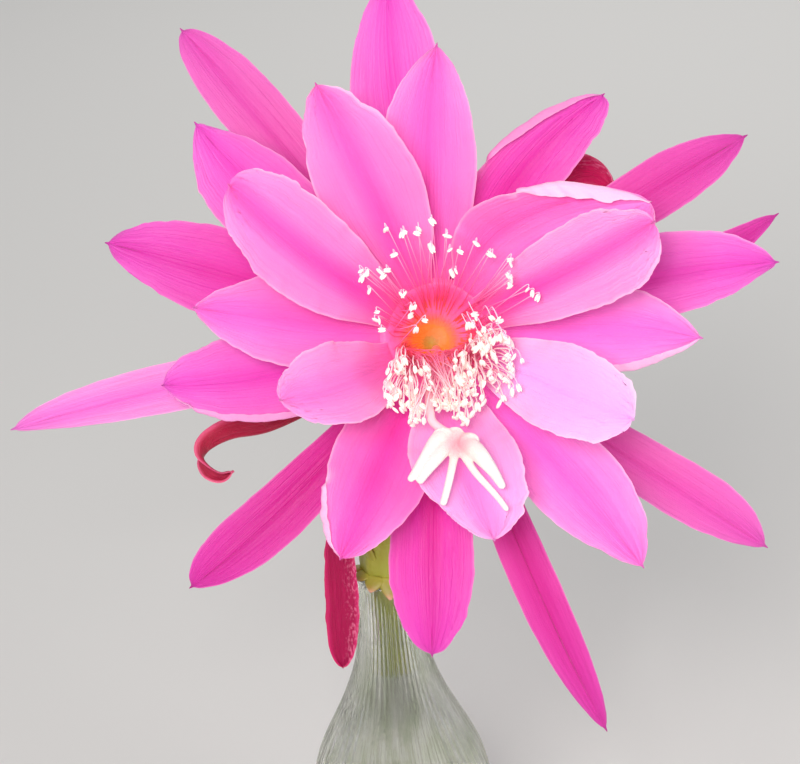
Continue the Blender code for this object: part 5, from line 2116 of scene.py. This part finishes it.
@dataclass
class Vase:
    """The clear bud vase with its fine ribs, and the water in it."""

    outline: tuple[tuple[float, float], ...] = OUTLINE
    glass_steps: tuple[int, int] = (416, 210)
    body_wall: float = 2.2
    neck_thinning: float = 0.3
    neck_start: float = 70.0
    neck_span: float = 35.0
    side_start: float = 14.0
    water_steps: tuple[int, int] = (96, 150)
    water_level: float = 103.0
    water_gap: float = -0.05
    water_climb: float = 0.3
    base: float = 9.0
    rib_count: float = 52.0
    rib_depth: float = 1.25
    waver: float = 5.0
    seed: float = 3.0

    def wall(self, height: float) -> float:
        """Return the thickness of the glass at a height."""
        up_neck = (height - self.neck_start) / self.neck_span
        return self.body_wall - self.neck_thinning * min(max(up_neck, 0.0), 1.0)

    def outer(self) -> list[Vector]:
        """Return the outline outside, foot to lip, as (radius, 0, height)."""
        return smooth_points([(radius, 0.0, height) for height, radius in self.outline], 6)

    def inner(self, gap: float = 0.0, top: float = 200.0) -> list[Vector]:
        """Return the outline of the bore.

        Args:
            gap: How far inside the glass it runs.
            top: The height where it ends, or anything above the lip.

        Returns:
            The outline from the middle of the floor up, as (radius, 0, height).
        """
        sides = [Vector((place.x - self.wall(place.z) - gap, 0.0, place.z))
                 for place in self.outer() if self.side_start < place.z < top]
        first = sides[0].x
        floor = [(0.0, self.base), (first - 9.0, self.base), (first - 4.0, self.base + 0.5),
                 (first - 1.2, self.base + 2.2)]
        return [Vector((r - gap if r > 0.0 else 0.0, 0.0, h + gap)) for r, h in floor] + sides

    def turned(self, tree: Growth, profile: list[Vector], finish: Finish, steps: tuple[int, int],
               ribs: Ribs = Ribs()) -> bpy.types.Mesh:
        """Return a profile turned round the axis.

        Args:
            tree: The turning tree.
            profile: The closed profile, from axis to axis.
            finish: The piece's finish.
            steps: How many steps it has round the axis and along the profile.
            ribs: Its ribs.

        Returns:
            The closed mesh.
        """
        helper = path_object("profile", [profile])
        mesh = tree.grow({
            "Profile": helper, "Steps": steps[0] + 1, "Rings": steps[1] + 1, "Rib Count": ribs.count,
            "Rib Depth": ribs.depth, "Rib Start": ribs.start, "Rib End": ribs.end,
            "Waver": self.waver, "Seed": self.seed, "Finish": finish.material(),
        })
        bpy.data.objects.remove(helper, do_unlink=True)
        return closed_outward(mesh)

    def glass(self, tree: Growth) -> bpy.types.Mesh:
        """Turn the glass, ribbed outside from below the lip to above the foot.

        Args:
            tree: The turning tree.

        Returns:
            Its mesh.
        """
        inside = self.inner() + [Vector(place) for place in LIP]
        profile = inside + self.outer()[::-1] + [Vector(place) for place in FOOT]
        lengths = [(b - a).length for a, b in zip(profile, profile[1:])]
        total = sum(lengths)
        start = sum(lengths[:len(inside) - 1]) / total
        end = 1.0 - sum(lengths[-len(FOOT):]) / total
        ribs = Ribs(self.rib_count, self.rib_depth, start, end)
        return self.turned(tree, profile, GlassFinish("ribbed_glass"), self.glass_steps, ribs)

    def water(self, tree: Growth) -> bpy.types.Mesh:
        """Turn the water, whose surface climbs a little at the glass.

        Args:
            tree: The turning tree.

        Returns:
            Its mesh.
        """
        level = self.water_level
        walls = self.inner(self.water_gap, level - 1.0)
        top = walls[-1].x
        surface = [(top, level + self.water_climb), (top - 0.5, level), (4.4, level), (0.0, level)]
        profile = walls + [Vector((r, 0.0, h)) for r, h in surface]
        return self.turned(tree, profile, WaterFinish("still_water"), self.water_steps)

    def build(self) -> None:
        """Make and place the glass and the water."""
        tree = turning_tree()
        place_piece("ribbed_vase", self.glass(tree), Slot.GLASS, ["glass_vase"])
        place_piece("water_fill", self.water(tree), Slot.WATER, ["vase_water"])


# The studio


@dataclass(frozen=True)
class Light:
    """A soft square light that faces the bloom: place and side in metres, power in watts."""

    name: str
    place: Point
    side: float
    power: float
    colour: Point

    def build(self) -> None:
        """Add the light."""
        data = bpy.data.lights.new(self.name, "AREA")
        data.size = self.side
        data.energy = self.power
        data.color = self.colour
        aim = (THROAT * MM - Vector(self.place)).to_track_quat("-Z", "Y").to_matrix().to_4x4()
        add_object(self.name, data).matrix_world = Matrix.Translation(self.place) @ aim


LIGHTS = (
    Light("key", (-0.34, -1.05, 0.86), 0.42, 8.0, (1.0, 0.98, 0.97)),
    Light("fill", (1.1, -0.7, 0.6), 0.9, 5.5, (1.0, 0.97, 1.0)),
    Light("front", (-0.03, -0.62, 0.53), 0.11, 1.5, (1.0, 0.98, 0.98)),
    Light("back", (0.3, 1.2, 1.1), 0.9, 8.0, (1.0, 1.0, 1.0)),
)


@dataclass
class Studio:
    """The plain floor, soft lights and the camera, which sees the bloom as the photograph does.

    Scale is in millimetres a pixel at the throat, which the offset sets beside the picture's middle.
    """

    scale: float = 0.26
    distance: float = 600.0
    roll: float = math.radians(4.0)
    offset: tuple[float, float] = (9.62, 12.22)
    image_width: int = 800
    sensor: float = 36.0
    lights: tuple[Light, ...] = LIGHTS
    surroundings: Colour = screen(226, 228, 232)
    strength: float = 0.5

    def camera(self) -> None:
        """Set the camera at the photograph's viewing angle."""
        right = ACROSS * math.cos(self.roll) - UPWARD * math.sin(self.roll)
        up = ACROSS * math.sin(self.roll) + UPWARD * math.cos(self.roll)
        place = THROAT - right * self.offset[0] - up * self.offset[1] + FORWARD * self.distance
        data = bpy.data.cameras.new("camera")
        data.sensor_width = self.sensor
        data.lens = self.distance / self.scale * self.sensor / self.image_width
        data.clip_start = 0.01
        data.clip_end = 50.0
        holder = add_object("camera", data)
        turn = Matrix((right, up, FORWARD)).transposed().to_4x4()
        holder.matrix_world = Matrix.Translation(place * MM) @ turn
        bpy.context.scene.camera = holder

    def build(self) -> None:
        """Make the floor, the lights, the surroundings and the camera."""
        mesh = bpy.data.meshes.new("floor")
        mesh.from_pydata([(-4, -4, 0), (4, -4, 0), (4, 6, 0), (-4, 6, 0)], [], [(0, 1, 2, 3)])
        mesh.materials.append(FloorFinish("floor_paper").material())
        floor = add_object("floor", mesh)
        for light in self.lights:
            light.build()
        world = bpy.data.worlds.new("surroundings")
        world.use_nodes = True
        background = world.node_tree.nodes["Background"]
        background.inputs["Color"].default_value = self.surroundings
        background.inputs["Strength"].default_value = self.strength
        bpy.context.scene.world = world
        bpy.context.scene.view_settings.view_transform = "Standard"
        self.camera()


def main() -> None:
    """Build the studio and every piece in order."""
    logging.basicConfig(level=logging.INFO, format="%(name)s: %(message)s")
    Studio().build()
    Vase().build()
    FlowerTube().build()
    Petals().build()
    Scales().build()
    Stamens().build()
    Pistil().build()


if __name__ == "__main__":
    main()
